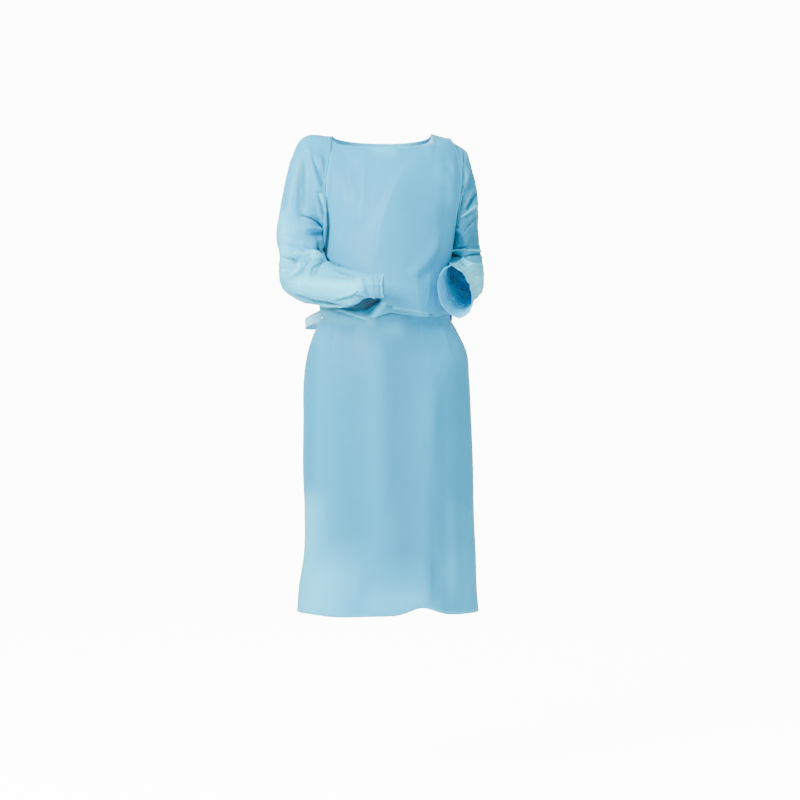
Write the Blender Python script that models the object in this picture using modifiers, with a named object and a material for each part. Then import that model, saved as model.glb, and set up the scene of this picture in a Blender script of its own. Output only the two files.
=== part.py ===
"""Open-back isolation gown of thin film, in its worn shape with nobody in it.

Metres, +Z up, front towards -Y. The origin is on the shoulder ridge, above the middle of the neck.
Left and right are the wearer's: the right side is at -X, the left side at +X.
"""
import math
from collections import namedtuple

import bpy
import numpy as np
from mathutils import Matrix, Vector

# Cloth and seams
WALL = 0.0015            # wall of every panel
SEAM = 0.0003            # space between two pieces at a seam
TIE_WALL = 0.0012
TIE_WIDTH = 0.022

# Neck
NECK_RIGHT = 0.112       # from the middle of the neck to its right corner
NECK_LEFT = 0.097        # to its left corner, where a short shoulder seam starts
SHOULDER_DROP = 0.0096   # fall of that shoulder seam
RIDGE_SPACE = 0.0011     # half the space at the shoulder, where two walls meet in a ridge
RIDGE_ARCH = 0.009       # how far the cloth beside the ridge stands above a straight slope
RIDGE_WIDTH = 0.08       # the arch starts at half this distance from the middle and is full at 1.5 of it
NECK_HOLLOW = 0.5        # power of the neck edge: flat in the middle, steep at the corners

# Armholes and side seams, as angles round the body from the middle of the front
UNDERARM = -0.212
REACH_RIGHT_FRONT = 30.0  # how far each armhole edge stands in front of or behind the side
REACH_RIGHT_BACK = 30.0
REACH_LEFT_FRONT = 20.0
REACH_LEFT_BACK = 34.0
ARMHOLE_ROUNDNESS = 0.6
ROUNDNESS = 0.92          # power of the body's outline seen from above; 1 is an ellipse
SIDE_SEAM_TURN = 7.0      # the side seams lie this far behind the side
SIDE_SEAM_EASE = 0.08     # length over which they get there
TUCK_SPACE = 0.0012       # half the space at the side seams where the waist is tucked in
TUCK_TOP = -0.360
TUCK_BOTTOM = -0.425

# Grid: columns across each panel; rows come from the steps in the table below
FRONT_COLUMNS = 26
BACK_COLUMNS = 11
ARMHOLE_SECTIONS = 7      # sections from the neck to the underarm
EDGE_COLUMNS = 3          # columns at a seam, and rows at the neck, over which folds fade out
EDGE_ROWS = 2
SLEEVE_STEPS = 2          # rings between two sleeve sections
SLEEVE_EASE = 6.0         # sections over which a sleeve's points spread evenly round it
SHOULDER_SPACE = 0.0017   # extra space between sleeve and panel at the shoulder, where the ridge bends
SHOULDER_TURN = 0.6       # how far that space turns towards the ridge
SLEEVE_SPACE = 0.0019     # space between a sleeve and the body's side
ARMHOLE_STEP = 0.0030     # more of it within the armhole, for each section from there
UPRIGHT_SECTIONS = 2      # first sections of a sleeve, whose rings run straight from front to back
TURN_SECTIONS = 3.0       # sections over which the rings then turn to face along the sleeve

Section = namedtuple("Section", "z_front y_front z_side right left z_back y_back gap wave steps")
# gap: half the opening at the centre back; wave: how much the uneven lip moves this section
BODY = (
    Section(-0.0386, -0.075, -0.001, 0.1120, 0.131, -0.012, 0.088, 0.0001, 0.0, 2),   # neck edge
    Section(-0.0600, -0.090, -0.030, 0.1190, 0.150, -0.040, 0.096, 0.0001, 0.0, 2),
    Section(-0.0850, -0.102, -0.060, 0.1310, 0.168, -0.066, 0.100, 0.0001, 0.0, 2),
    Section(-0.1150, -0.112, -0.095, 0.1410, 0.174, -0.098, 0.102, 0.008, 0.0, 2),
    Section(-0.1450, -0.120, -0.135, 0.1410, 0.168, -0.135, 0.103, 0.014, 0.0, 2),
    Section(-0.1750, -0.125, -0.172, 0.1360, 0.157, -0.172, 0.103, 0.018, 0.0, 1),
    Section(-0.2000, -0.128, -0.198, 0.1330, 0.151, -0.198, 0.102, 0.020, 0.0, 1),
    Section(-0.2140, -0.130, -0.212, 0.1318, 0.149, -0.212, 0.101, 0.021, 0.0, 2),    # underarm
    Section(-0.2550, -0.134, -0.250, 0.1302, 0.1430, -0.250, 0.099, 0.023, 0.0, 2),
    Section(-0.3050, -0.140, -0.300, 0.1290, 0.1370, -0.300, 0.100, 0.024, 0.1, 2),
    Section(-0.3480, -0.146, -0.342, 0.1330, 0.1375, -0.340, 0.106, 0.022, 0.4, 2),
    Section(-0.3770, -0.148, -0.364, 0.1380, 0.141, -0.364, 0.110, 0.020, 0.8, 1),
    Section(-0.3880, -0.144, -0.374, 0.1390, 0.142, -0.380, 0.108, 0.019, 1.0, 1),    # blouse lip
    Section(-0.3900, -0.134, -0.380, 0.1370, 0.141, -0.385, 0.101, 0.019, 1.0, 1),
    Section(-0.3830, -0.124, -0.384, 0.1345, 0.138, -0.384, 0.094, 0.019, 0.9, 1),
    Section(-0.3740, -0.115, -0.389, 0.1330, 0.137, -0.387, 0.0915, 0.019, 0.7, 1),   # tucked line
    Section(-0.3790, -0.109, -0.395, 0.1330, 0.138, -0.399, 0.0912, 0.020, 0.5, 1),
    Section(-0.3930, -0.108, -0.404, 0.1370, 0.143, -0.412, 0.0918, 0.022, 0.3, 1),
    Section(-0.4180, -0.112, -0.419, 0.1480, 0.153, -0.430, 0.097, 0.026, 0.1, 2),    # skirt
    Section(-0.4650, -0.120, -0.465, 0.1640, 0.174, -0.468, 0.110, 0.032, 0.0, 2),
    Section(-0.5200, -0.126, -0.520, 0.1720, 0.179, -0.520, 0.118, 0.038, 0.0, 2),
    Section(-0.6000, -0.129, -0.600, 0.1730, 0.183, -0.600, 0.122, 0.045, 0.0, 2),
    Section(-0.7000, -0.131, -0.700, 0.1730, 0.187, -0.700, 0.124, 0.052, 0.0, 2),
    Section(-0.8000, -0.132, -0.800, 0.1700, 0.189, -0.800, 0.126, 0.058, 0.0, 2),
    Section(-0.9000, -0.134, -0.900, 0.1730, 0.193, -0.900, 0.129, 0.064, 0.0, 2),
    Section(-0.9650, -0.136, -0.965, 0.1830, 0.195, -0.965, 0.131, 0.068, 0.0, 1),
    Section(-1.0120, -0.137, -1.012, 0.1870, 0.199, -1.012, 0.132, 0.070, 0.0, 0),    # hem
)

LipPoint = namedtuple("LipPoint", "x rise")
# The lip's lower edge across the front, against its section's height
LIP_WAVE = (
    LipPoint(-0.140, 0.0130), LipPoint(-0.128, 0.0120), LipPoint(-0.081, 0.0000), LipPoint(-0.050, -0.0085),
    LipPoint(-0.035, -0.0135), LipPoint(-0.013, -0.0042), LipPoint(0.011, 0.0035), LipPoint(0.042, -0.0010),
    LipPoint(0.093, -0.0060), LipPoint(0.143, -0.0030),
)

HemRise = namedtuple("HemRise", "x rise half_width")
HEM_RISES = (
    HemRise(0.080, 0.018, 0.036),
    HemRise(-0.100, -0.004, 0.050),
)
HEM_RISE_HEIGHT = 0.16    # height over which a rise at the hem dies out
CLOTH_ROUGHNESS = 0.45

Fold = namedtuple("Fold", "x0 z0 x1 z1 depth half_width")
# Folds in the front as seen from the front: a trough has a negative depth
FRONT_FOLDS = (
    Fold(0.050, -0.050, 0.000, -0.230, 0.0040, 0.022),
    Fold(-0.030, -0.080, -0.050, -0.250, -0.0035, 0.024),
    Fold(0.095, -0.090, 0.070, -0.300, -0.0040, 0.026),
    Fold(0.020, -0.290, 0.012, -0.385, 0.0050, 0.014),
    Fold(-0.070, -0.330, -0.020, -0.385, -0.0060, 0.020),
    Fold(0.098, -1.010, 0.120, -0.700, -0.0060, 0.022),
    Fold(0.062, -1.010, 0.050, -0.760, 0.0050, 0.022),
    Fold(0.150, -1.010, 0.158, -0.640, 0.0050, 0.018),
    Fold(-0.120, -1.010, -0.125, -0.620, 0.0050, 0.024),
    Fold(-0.060, -1.010, -0.050, -0.560, -0.0035, 0.028),
    Fold(0.070, -0.400, 0.090, -0.620, -0.0040, 0.026),
)
# Folds in the back, in the same coordinates
BACK_FOLDS = (
    Fold(-0.078, -0.480, -0.105, -0.800, 0.0060, 0.020),
    Fold(-0.115, -0.460, -0.145, -0.720, -0.0050, 0.018),
    Fold(0.076, -0.480, 0.110, -0.900, 0.0060, 0.022),
    Fold(0.118, -0.460, 0.150, -0.700, -0.0050, 0.018),
    Fold(-0.100, -0.140, -0.060, -0.370, -0.0040, 0.022),
    Fold(0.105, -0.130, 0.060, -0.370, -0.0040, 0.022),
    Fold(-0.080, -1.010, -0.075, -0.760, -0.0050, 0.022),
    Fold(0.130, -1.010, 0.125, -0.800, 0.0050, 0.020),
)

SleeveSection = namedtuple("SleeveSection", "x_out y_out z_out x_in y_in z_in half_depth")
# Each ring runs from its outer point over the front to its inner point and back behind
RIGHT_SLEEVE = (
    SleeveSection(-0.1600, 0.000, -0.003, -0.1345, 0.002, -0.2165, 0.056),
    SleeveSection(-0.1887, 0.000, -0.028, -0.1345, 0.001, -0.2200, 0.056),
    SleeveSection(-0.2035, 0.000, -0.078, -0.1340, -0.003, -0.2240, 0.054),
    SleeveSection(-0.2195, 0.002, -0.146, -0.1330, -0.010, -0.2300, 0.052),
    SleeveSection(-0.2275, 0.006, -0.197, -0.1314, -0.020, -0.2380, 0.050),
    SleeveSection(-0.2280, 0.008, -0.231, -0.1294, -0.032, -0.2470, 0.047),
    SleeveSection(-0.2180, 0.006, -0.268, -0.1272, -0.046, -0.2570, 0.044),
    SleeveSection(-0.2180, -0.004, -0.303, -0.1250, -0.068, -0.2660, 0.040),
    SleeveSection(-0.2067, -0.030, -0.338, -0.1240, -0.106, -0.2770, 0.038),
    SleeveSection(-0.1690, -0.085, -0.362, -0.1050, -0.146, -0.2880, 0.036),
    SleeveSection(-0.1338, -0.136, -0.372, -0.0800, -0.172, -0.2980, 0.036),
    SleeveSection(-0.0976, -0.172, -0.377, -0.0620, -0.188, -0.3020, 0.034),
    SleeveSection(-0.0650, -0.190, -0.373, -0.0450, -0.198, -0.3055, 0.031),
    SleeveSection(-0.0400, -0.200, -0.3600, -0.0300, -0.204, -0.3070, 0.028),
    SleeveSection(0.0020, -0.210, -0.3585, 0.0040, -0.212, -0.3085, 0.026),
)
LEFT_SLEEVE = (
    SleeveSection(0.1610, 0.004, -0.029, 0.1520, 0.006, -0.2180, 0.050),
    SleeveSection(0.1760, 0.008, -0.044, 0.1520, 0.010, -0.2220, 0.050),
    SleeveSection(0.1840, 0.014, -0.078, 0.1510, 0.014, -0.2270, 0.050),
    SleeveSection(0.1950, 0.022, -0.129, 0.1487, 0.018, -0.2340, 0.050),
    SleeveSection(0.1970, 0.030, -0.180, 0.1458, 0.026, -0.2420, 0.048),
    SleeveSection(0.1985, 0.038, -0.222, 0.1438, 0.026, -0.2510, 0.044),
    SleeveSection(0.2010, 0.042, -0.258, 0.1426, 0.018, -0.2610, 0.039),
    SleeveSection(0.2000, 0.040, -0.302, 0.1432, -0.018, -0.2700, 0.034),
    SleeveSection(0.1990, 0.022, -0.335, 0.1450, -0.062, -0.2770, 0.032),
    SleeveSection(0.1890, -0.018, -0.353, 0.1420, -0.094, -0.2830, 0.032),
    SleeveSection(0.1750, -0.064, -0.366, 0.1390, -0.124, -0.2880, 0.033),
    SleeveSection(0.1660, -0.112, -0.380, 0.1340, -0.150, -0.2920, 0.034),
    SleeveSection(0.1620, -0.155, -0.393, 0.1300, -0.168, -0.2950, 0.034),
    SleeveSection(0.1590, -0.190, -0.398, 0.1280, -0.182, -0.2970, 0.033),
)

# Waist ties: heights of their middle line, by angle round the body from the front
TiePoint = namedtuple("TiePoint", "angle height stand_off")
RIGHT_TIE = (
    TiePoint(98.5, -0.386, 0.0072), TiePoint(105.0, -0.395, 0.034), TiePoint(113.0, -0.403, 0.056),
    TiePoint(122.0, -0.403, 0.032), TiePoint(132.0, -0.401, 0.009), TiePoint(145.0, -0.400, 0.0042),
    TiePoint(172.48, -0.400, 0.0042),
)
LEFT_TIE = (
    TiePoint(98.5, -0.387, 0.0062), TiePoint(108.0, -0.392, 0.0062), TiePoint(122.0, -0.397, 0.0052),
    TiePoint(140.0, -0.400, 0.0042), TiePoint(172.8, -0.400, 0.0042),
)
TIE_COLUMNS = 24
TIE_NARROW = 0.5          # share of its width that a strip keeps where it enters the knot
TIE_NARROW_LENGTH = 0.030
TIE_NARROW_ROWS = 3.0     # rows over which a free end widens again below the knot
KNOT_SIZE = (0.0425, 0.021, 0.034)
KNOT_CENTRE = (0.0, 0.0965, -0.400)

EndPoint = namedtuple("EndPoint", "x y z")
RIGHT_END = (
    EndPoint(-0.0070, 0.0970, -0.4145), EndPoint(-0.0120, 0.1010, -0.4350),
    EndPoint(-0.0190, 0.1130, -0.4700), EndPoint(-0.0230, 0.1240, -0.5200),
    EndPoint(-0.0280, 0.1290, -0.5700), EndPoint(-0.0300, 0.1290, -0.5980),
)
LEFT_END = (
    EndPoint(0.0070, 0.0970, -0.4143), EndPoint(0.0150, 0.1020, -0.4350),
    EndPoint(0.0240, 0.1140, -0.4700), EndPoint(0.0330, 0.1240, -0.5150),
    EndPoint(0.0390, 0.1285, -0.5600), EndPoint(0.0400, 0.1290, -0.5750),
)
END_ROWS = 14

BLUE = (0.36, 0.62, 0.74, 1.0)
PALE_BLUE = (0.50, 0.73, 0.82, 1.0)


def spline(knots, values, at):
    """Smooth curve through rows of values at the given knots, read at other places."""
    knots = np.asarray(knots, float)
    values = np.asarray(values, float)
    at = np.asarray(at, float)
    slopes = np.gradient(values, knots, axis=0)
    low = np.clip(np.searchsorted(knots, at, side="right") - 1, 0, len(knots) - 2)
    span = knots[low + 1] - knots[low]
    t = (at - knots[low]) / span
    shape = (-1,) + (1,) * (values.ndim - 1)
    t = t.reshape(shape)
    span = span.reshape(shape)
    start = (2 * t**3 - 3 * t**2 + 1) * values[low] + (t**3 - 2 * t**2 + t) * span * slopes[low]
    end = (3 * t**2 - 2 * t**3) * values[low + 1] + (t**3 - t**2) * span * slopes[low + 1]
    return start + end


def smoothstep(t):
    t = np.clip(t, 0.0, 1.0)
    return t * t * (3.0 - 2.0 * t)


def section_knots():
    """Distance down the middle of the front, which spaces the sections for the spline."""
    heights = np.array([s.z_front for s in BODY])
    depths = np.array([s.y_front for s in BODY])
    lengths = np.hypot(np.diff(heights), np.diff(depths))
    return np.concatenate([[0.0], np.cumsum(lengths)])


def body_rows():
    """The body's sections with the rows between them, as an array of the table's columns."""
    knots = section_knots()
    at = [knots[-1]]
    for k in reversed(range(len(BODY) - 1)):
        steps = BODY[k].steps
        at = [knots[k] + (knots[k + 1] - knots[k]) * i / steps for i in range(steps)] + at
    columns = np.array([s[:-1] for s in BODY])
    return spline(knots, columns, at)


ROWS = body_rows()
ARMHOLE_ROWS = sum(s.steps for s in BODY[:ARMHOLE_SECTIONS]) + 1


def armhole_share(z_side):
    """0 at the shoulder and the underarm, 1 half way down the armhole."""
    down = np.clip(z_side / UNDERARM, 0.0, 1.0)
    return math.sin(math.pi * down) ** ARMHOLE_ROUNDNESS if 0.0 < down < 1.0 else 0.0


def edge_angle(row, side, front):
    """Angle of a panel's side edge at one row: the armhole, then the side seam."""
    z_side = ROWS[row][2]
    reach = {(-1, True): REACH_RIGHT_FRONT, (-1, False): REACH_RIGHT_BACK,
             (1, True): REACH_LEFT_FRONT, (1, False): REACH_LEFT_BACK}[(side, front)]
    if row < ARMHOLE_ROWS - 1:
        share = armhole_share(z_side)
        return 90.0 - reach * share if front else 90.0 + reach * share
    return 90.0 + SIDE_SEAM_TURN * float(smoothstep((UNDERARM - z_side) / SIDE_SEAM_EASE))


def lip_rise(x):
    return float(np.interp(x, [p.x for p in LIP_WAVE], [p.rise for p in LIP_WAVE]))


def neck_point(side, angle, depth, height):
    """A point of the neck edge, or of the short shoulder seam beyond its left corner."""
    half = ROWS[0][3] if side < 0 else ROWS[0][4]
    neck = NECK_RIGHT if side < 0 else NECK_LEFT
    across = half * math.sin(math.radians(min(angle, 90.0)))
    ridge = ROWS[0][2]
    if across >= neck - 1e-9:
        drop = SHOULDER_DROP * (across - neck) / max(half - neck, 1e-9)
        return side * across, math.copysign(RIDGE_SPACE, depth), ridge - drop
    towards = math.sqrt(1.0 - (across / neck) ** 2)
    y = depth * towards + math.copysign(RIDGE_SPACE, depth)
    return side * across, y, ridge + (height - ridge) * towards**NECK_HOLLOW


def body_point(row, side, angle, front):
    """Outer point of the body at one row and angle from the middle of the front, in degrees."""
    z_front, y_front, z_side, right, left, z_back, y_back, _, wave = ROWS[row]
    if row == 0:
        if front:
            return neck_point(side, angle, y_front, z_front)
        return neck_point(side, 180.0 - angle, y_back, z_back)
    half = right if side < 0 else left
    turn = math.radians(angle)
    x = side * half * math.sin(turn)
    ahead = math.cos(turn)
    if ahead >= 0.0:
        y = y_front * ahead**ROUNDNESS
        z = z_side + (z_front - z_side) * ahead
    else:
        y = y_back * (-ahead) ** ROUNDNESS
        z = z_side + (z_back - z_side) * -ahead
    z += wave * lip_rise(x) * smoothstep(ahead * 2.0 + 0.3)
    if row < 2 * BODY[0].steps:
        arch = RIDGE_ARCH * math.sin(math.pi * row / (2 * BODY[0].steps))
        z += arch * smoothstep(abs(x) / RIDGE_WIDTH - 0.5)
    up = smoothstep((z - BODY[-1].z_front) / HEM_RISE_HEIGHT)
    for rise in HEM_RISES:
        bump = rise.rise * math.exp(-((x - rise.x) / rise.half_width) ** 2)
        z += bump * (1.0 - up) * max(ahead, 0.0)
    return x, y, z


def grid_normals(grid):
    """Outward unit normals of a grid whose rows run down and whose columns run anticlockwise."""
    down = np.gradient(grid, axis=0)
    across = np.gradient(grid, axis=1)
    normals = np.cross(down, across)
    return normals / np.linalg.norm(normals, axis=2, keepdims=True)


def press_folds(grid, normals, folds):
    """Move a grid's points along their normals at each fold, fading at the fold's ends."""
    moved = grid.copy()
    for fold in folds:
        start = np.array([fold.x0, fold.z0])
        run = np.array([fold.x1, fold.z1]) - start
        length = np.linalg.norm(run)
        offset = grid[:, :, [0, 2]] - start
        along = offset @ run / length**2
        away = (offset[:, :, 0] * run[1] - offset[:, :, 1] * run[0]) / length
        beyond = np.maximum(np.maximum(-along, along - 1.0), 0.0) * length
        reach = np.exp(-(away / fold.half_width) ** 2 - (beyond / (2 * fold.half_width)) ** 2)
        moved += normals * (fold.depth * reach)[:, :, None]
    return moved


def keep_edges(grid, moved):
    """Leave a panel's neck edge and its side columns where they were, so the seams still meet."""
    column = np.arange(grid.shape[1])
    across = smoothstep(np.minimum(column, column[::-1]) / EDGE_COLUMNS)
    down = smoothstep(np.arange(grid.shape[0]) / EDGE_ROWS)
    return grid + (moved - grid) * np.outer(down, across)[:, :, None]


def front_grid():
    grid = []
    for row in range(len(ROWS)):
        line = []
        for column in range(FRONT_COLUMNS + 1):
            across = 2.0 * column / FRONT_COLUMNS - 1.0
            side = -1 if across < 0 else 1
            edge = edge_angle(row, side, True) - seam_angle(row, True)
            line.append(body_point(row, side, abs(across) * edge, True))
        grid.append(line)
    grid = np.array(grid)
    moved = press_folds(grid, grid_normals(grid), FRONT_FOLDS)
    return keep_edges(grid, moved)


def seam_angle(row, front):
    """Half of the space at a seam, as an angle round the body."""
    depth = abs(ROWS[row][1]) if front else ROWS[row][6]
    tucked = TUCK_BOTTOM < ROWS[row][2] < TUCK_TOP
    space = TUCK_SPACE if tucked else SEAM / 2
    return math.degrees(space / depth) if row else 0.0


def back_grid(side):
    """One half of the back between its side seam and the centre back, columns running to -X."""
    grid = []
    for row in range(len(ROWS)):
        half = ROWS[row][3] if side < 0 else ROWS[row][4]
        opening = 180.0 - math.degrees(math.asin(max(ROWS[row][7], SEAM / 2) / half))
        edge = edge_angle(row, side, False) + seam_angle(row, False)
        angles = [edge + (opening - edge) * c / BACK_COLUMNS for c in range(BACK_COLUMNS + 1)]
        line = [body_point(row, side, angle, False) for angle in angles]
        grid.append(line if side > 0 else line[::-1])
    grid = np.array(grid)
    moved = press_folds(grid, grid_normals(grid), BACK_FOLDS)
    return keep_edges(grid, moved)


def armhole_ring(side):
    """Points round an armhole: top, down its front edge, underarm, up its back edge."""
    last = ARMHOLE_ROWS - 1
    front = [body_point(r, side, edge_angle(r, side, True), True) for r in range(last + 1)]
    back = [body_point(r, side, edge_angle(r, side, False), False) for r in range(last - 1, 0, -1)]
    ring = np.array(front + back)
    ring[0][1] = 0.0
    return ring


def clear_of_body(points, side, spare):
    """Move a sleeve's points sideways until they clear the body, by the whole space half way down."""
    heights = ROWS[::-1, 2]
    half, front, back = [np.interp(points[:, 2], heights, ROWS[::-1, column])
                         for column in (3 if side < 0 else 4, 1, 6)]
    depth = np.where(points[:, 1] < 0.0, -front, back)
    ahead = np.clip(np.abs(points[:, 1]) / depth, 0.0, 1.0) ** (1.0 / ROUNDNESS)
    inside = np.clip(points[:, 2] / UNDERARM, 0.0, 1.0)
    space = SLEEVE_SPACE + spare * np.sin(math.pi * inside)
    least = half * np.sqrt(1.0 - ahead**2) + space
    moved = points.copy()
    beside = ahead < 1.0
    moved[beside, 0] = side * np.maximum(side * points[beside, 0], least[beside])
    return moved


def sleeve_rings(side, sections):
    """Rings of a sleeve from the armhole to the cuff, each starting at its outer point."""
    last = ARMHOLE_ROWS - 1
    count = 2 * last
    even = np.arange(count) * 2 * math.pi / count
    down = np.arccos(1.0 - 2.0 * np.clip(ROWS[:last + 1, 2] / UNDERARM, 0.0, 1.0))
    down[0] = 0.0
    down[-1] = math.pi
    at_armhole = np.concatenate([down, 2 * math.pi - down[last - 1:0:-1]])
    outer = np.array([[s.x_out, s.y_out, s.z_out] for s in sections])
    inner = np.array([[s.x_in, s.y_in, s.z_in] for s in sections])
    centres = (outer + inner) / 2
    padded = np.concatenate([centres[:1], centres[:1], centres, centres[-1:], centres[-1:]])
    tangents = padded[4:] - padded[:-4]
    tangents[:, 1] *= smoothstep((np.arange(len(sections)) - UPRIGHT_SECTIONS) / TURN_SECTIONS)
    rings = []
    for k, section in enumerate(sections):
        width = (outer[k] - inner[k]) / 2
        depth = np.cross(width, tangents[k])
        depth *= -side * section.half_depth / np.linalg.norm(depth)
        blend = float(smoothstep(k / SLEEVE_EASE))
        angles = at_armhole + (even - at_armhole) * blend
        ring = centres[k] + np.outer(np.cos(angles), width) + np.outer(np.sin(angles), depth)
        rings.append(clear_of_body(ring, side, ARMHOLE_STEP * (k + 1)))
    armhole = armhole_ring(side)
    away = rings[0] - armhole
    away /= np.linalg.norm(away, axis=1, keepdims=True)
    near_ridge = np.exp(-(armhole[:, 2] / (4 * RIDGE_ARCH)) ** 2)
    away[:, 1] -= SHOULDER_TURN * near_ridge * np.sign(armhole[:, 1])
    rings.insert(0, armhole + away * (SEAM + SHOULDER_SPACE * near_ridge)[:, None])
    rings = np.array(rings)
    steps = np.linspace(0, len(rings) - 1, (len(rings) - 1) * SLEEVE_STEPS + 1)
    return spline(np.arange(len(rings)), rings, steps)


def principled(name, colour, roughness):
    material = bpy.data.materials.new(name)
    material.use_nodes = True
    shader = material.node_tree.nodes["Principled BSDF"]
    shader.inputs["Base Color"].default_value = colour
    shader.inputs["Roughness"].default_value = roughness
    shader.inputs["Metallic"].default_value = 0.0
    return material


def cloth(name, grid, collection, colour, closed=False, wall=WALL):
    """A panel or tube of cloth: an open surface through a grid of points, thickened inwards."""
    rows, columns = grid.shape[:2]
    faces = []
    for i in range(rows - 1):
        for j in range(columns if closed else columns - 1):
            k = (j + 1) % columns
            faces.append((i * columns + j, (i + 1) * columns + j, (i + 1) * columns + k, i * columns + k))
    mesh = bpy.data.meshes.new(name)
    mesh.from_pydata([tuple(p) for p in grid.reshape(-1, 3)], [], faces)
    mesh.shade_smooth()
    mesh.materials.append(principled(name, colour, CLOTH_ROUGHNESS))
    piece = bpy.data.objects.new(name, mesh)
    collection.objects.link(piece)
    solidify = piece.modifiers.new("wall", "SOLIDIFY")
    solidify.thickness = wall
    solidify.offset = -1.0
    return piece


def tie_grid(side, table):
    """A waist tie: its middle line stands off the narrowest row of the waist, its width is upright."""
    row = int(np.argmin(ROWS[:, 6] + (ROWS[:, 5] > UNDERARM)))
    angles = np.linspace(table[0].angle, table[-1].angle, TIE_COLUMNS)
    middle = spline([p.angle for p in table], [[p.height, p.stand_off] for p in table], angles)
    upper = []
    lower = []
    for angle, (height, stand_off) in zip(angles, middle):
        point = Vector(body_point(row, side, angle, False))
        ahead = Vector(body_point(row, side, angle + 1.0, False)) - point
        out = Vector((ahead.y, -ahead.x, 0.0)).normalized() * side
        point += out * stand_off
        point.z = height
        to_knot = abs(point.x) / TIE_NARROW_LENGTH
        share = TIE_NARROW + (1.0 - TIE_NARROW) * float(smoothstep(to_knot - 0.6))
        rise = Vector((0.0, 0.0, TIE_WIDTH / 2 * share))
        upper.append(point + rise)
        lower.append(point - rise)
    grid = np.array([upper, lower])
    return grid if side > 0 else grid[:, ::-1]


def end_grid(table):
    """A free end of a tie, hanging from the knot, narrow at its top."""
    line = spline(np.arange(len(table)), [list(p) for p in table], np.linspace(0, len(table) - 1, END_ROWS))
    grid = []
    for k, point in enumerate(line):
        share = TIE_NARROW + (1.0 - TIE_NARROW) * float(smoothstep(k / TIE_NARROW_ROWS))
        half = np.array([TIE_WIDTH / 2 * share, 0.0, 0.0])
        grid.append([point + half, point - half])
    return np.array(grid)


def knot(collection):
    """The tied strips at the centre back, as one soft lump."""
    bpy.ops.mesh.primitive_cube_add(size=1.0, location=KNOT_CENTRE)
    piece = bpy.context.object
    piece.name = "tie_knot"
    piece.data.transform(Matrix.Diagonal((*KNOT_SIZE, 1.0)))
    piece.data.materials.append(principled("tie_knot", PALE_BLUE, CLOTH_ROUGHNESS))
    piece.data.shade_smooth()
    smooth = piece.modifiers.new("soft", "SUBSURF")
    smooth.levels = 2
    smooth.render_levels = 2
    for owner in list(piece.users_collection):
        owner.objects.unlink(piece)
    collection.objects.link(piece)


def build():
    for old in list(bpy.data.objects):
        bpy.data.objects.remove(old, do_unlink=True)
    gown = bpy.data.collections.new("gown")
    bpy.context.scene.collection.children.link(gown)
    cloth("front_panel", front_grid(), gown, BLUE)
    cloth("back_right", back_grid(-1), gown, BLUE)
    cloth("back_left", back_grid(1), gown, BLUE)
    cloth("sleeve_right", sleeve_rings(-1, RIGHT_SLEEVE), gown, PALE_BLUE, closed=True)
    cloth("sleeve_left", sleeve_rings(1, LEFT_SLEEVE)[:, ::-1], gown, PALE_BLUE, closed=True)
    cloth("waist_tie_right", tie_grid(-1, RIGHT_TIE), gown, PALE_BLUE, wall=TIE_WALL)
    cloth("waist_tie_left", tie_grid(1, LEFT_TIE), gown, PALE_BLUE, wall=TIE_WALL)
    cloth("tie_end_right", end_grid(RIGHT_END), gown, PALE_BLUE, wall=TIE_WALL)
    cloth("tie_end_left", end_grid(LEFT_END), gown, PALE_BLUE, wall=TIE_WALL)
    knot(gown)


build()
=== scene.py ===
"""Looks of the open-back isolation gown: thin film shells, seams, ties, floor, light and camera.

The frame is that of the solids: +Z up, front towards -Y, origin on the shoulder line. Left and right are the
wearer's: the right side is at -X, the left side at +X. Sizes are in metres, and in millimetres in the rows of
the tables that in_metres and folds read.
"""

import math
from collections import namedtuple

import bpy
import numpy as np
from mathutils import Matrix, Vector, noise


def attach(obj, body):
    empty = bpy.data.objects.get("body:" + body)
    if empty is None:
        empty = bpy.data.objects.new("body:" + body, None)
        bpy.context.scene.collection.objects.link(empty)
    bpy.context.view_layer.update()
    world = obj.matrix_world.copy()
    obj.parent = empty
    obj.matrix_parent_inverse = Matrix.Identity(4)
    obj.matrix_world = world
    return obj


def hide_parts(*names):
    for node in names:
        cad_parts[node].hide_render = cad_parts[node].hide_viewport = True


TINY = 1e-9              # keeps a division from failing where there is no length


def in_metres(kind, lengths, table):
    """Named tuples from a table's rows, whose first values are lengths in millimetres.

    Rounding gives the same numbers as if the rows were written in metres.
    """
    return tuple(kind(*[round(value / 1000, 6) for value in row[:lengths]], *row[lengths:]) for row in table)


class Sway(namedtuple("Sway", "middle swing turns phase")):
    """A value that sways about its middle."""

    def at(self, angle):
        return self.middle + self.swing * np.sin(self.turns * angle + self.phase)


# Film
FILM = 0.0005            # wall of the film shells
STRIP_FILM = 0.0006      # wall of the tie strips
INSIDE_PAINTED_LIGHT = 0.55       # painted light: light comes through the film, so that its inner side is painted paler
# share of the outer side's painted shade that the inner side takes
INSIDE_PAINTED_SHADE = 0.3
WAVE_HEIGHT = 0.0012     # soft waves of the panels; sizes of waves and crests are along X, Y and Z
WAVE_SIZE = (0.05, 0.05, 0.12)
FRONT_SEED, BACK_SEED = 1, 2
CRUMPLE_HEIGHT = 0.0012  # crests of crushed film round the waist, between two heights
CRUMPLE_SIZE = (0.035, 0.05, 0.09)
CRUMPLE_SEED = 4
CRUMPLE_TOP = 0.25
CRUMPLE_FOOT = 0.46
CRUMPLE_EASE = 0.05
SLEEVE_WAVE = 0.0016
SLEEVE_WAVE_SIZE = (0.035, 0.035, 0.035)
SLEEVE_WAVE_SEED = 5
SLEEVE_CRUMPLE = 0.0022
SLEEVE_CRUMPLE_SIZE = (0.030, 0.030, 0.022)
SLEEVE_CRUMPLE_SEED = 9
SMOOTH_SHARE = 0.35      # share of their height that the crests have at the armhole
SMOOTH_END = 0.25        # shares of the sleeve's length at which, and over which, they rise
SMOOTH_EASE = 0.3
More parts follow.
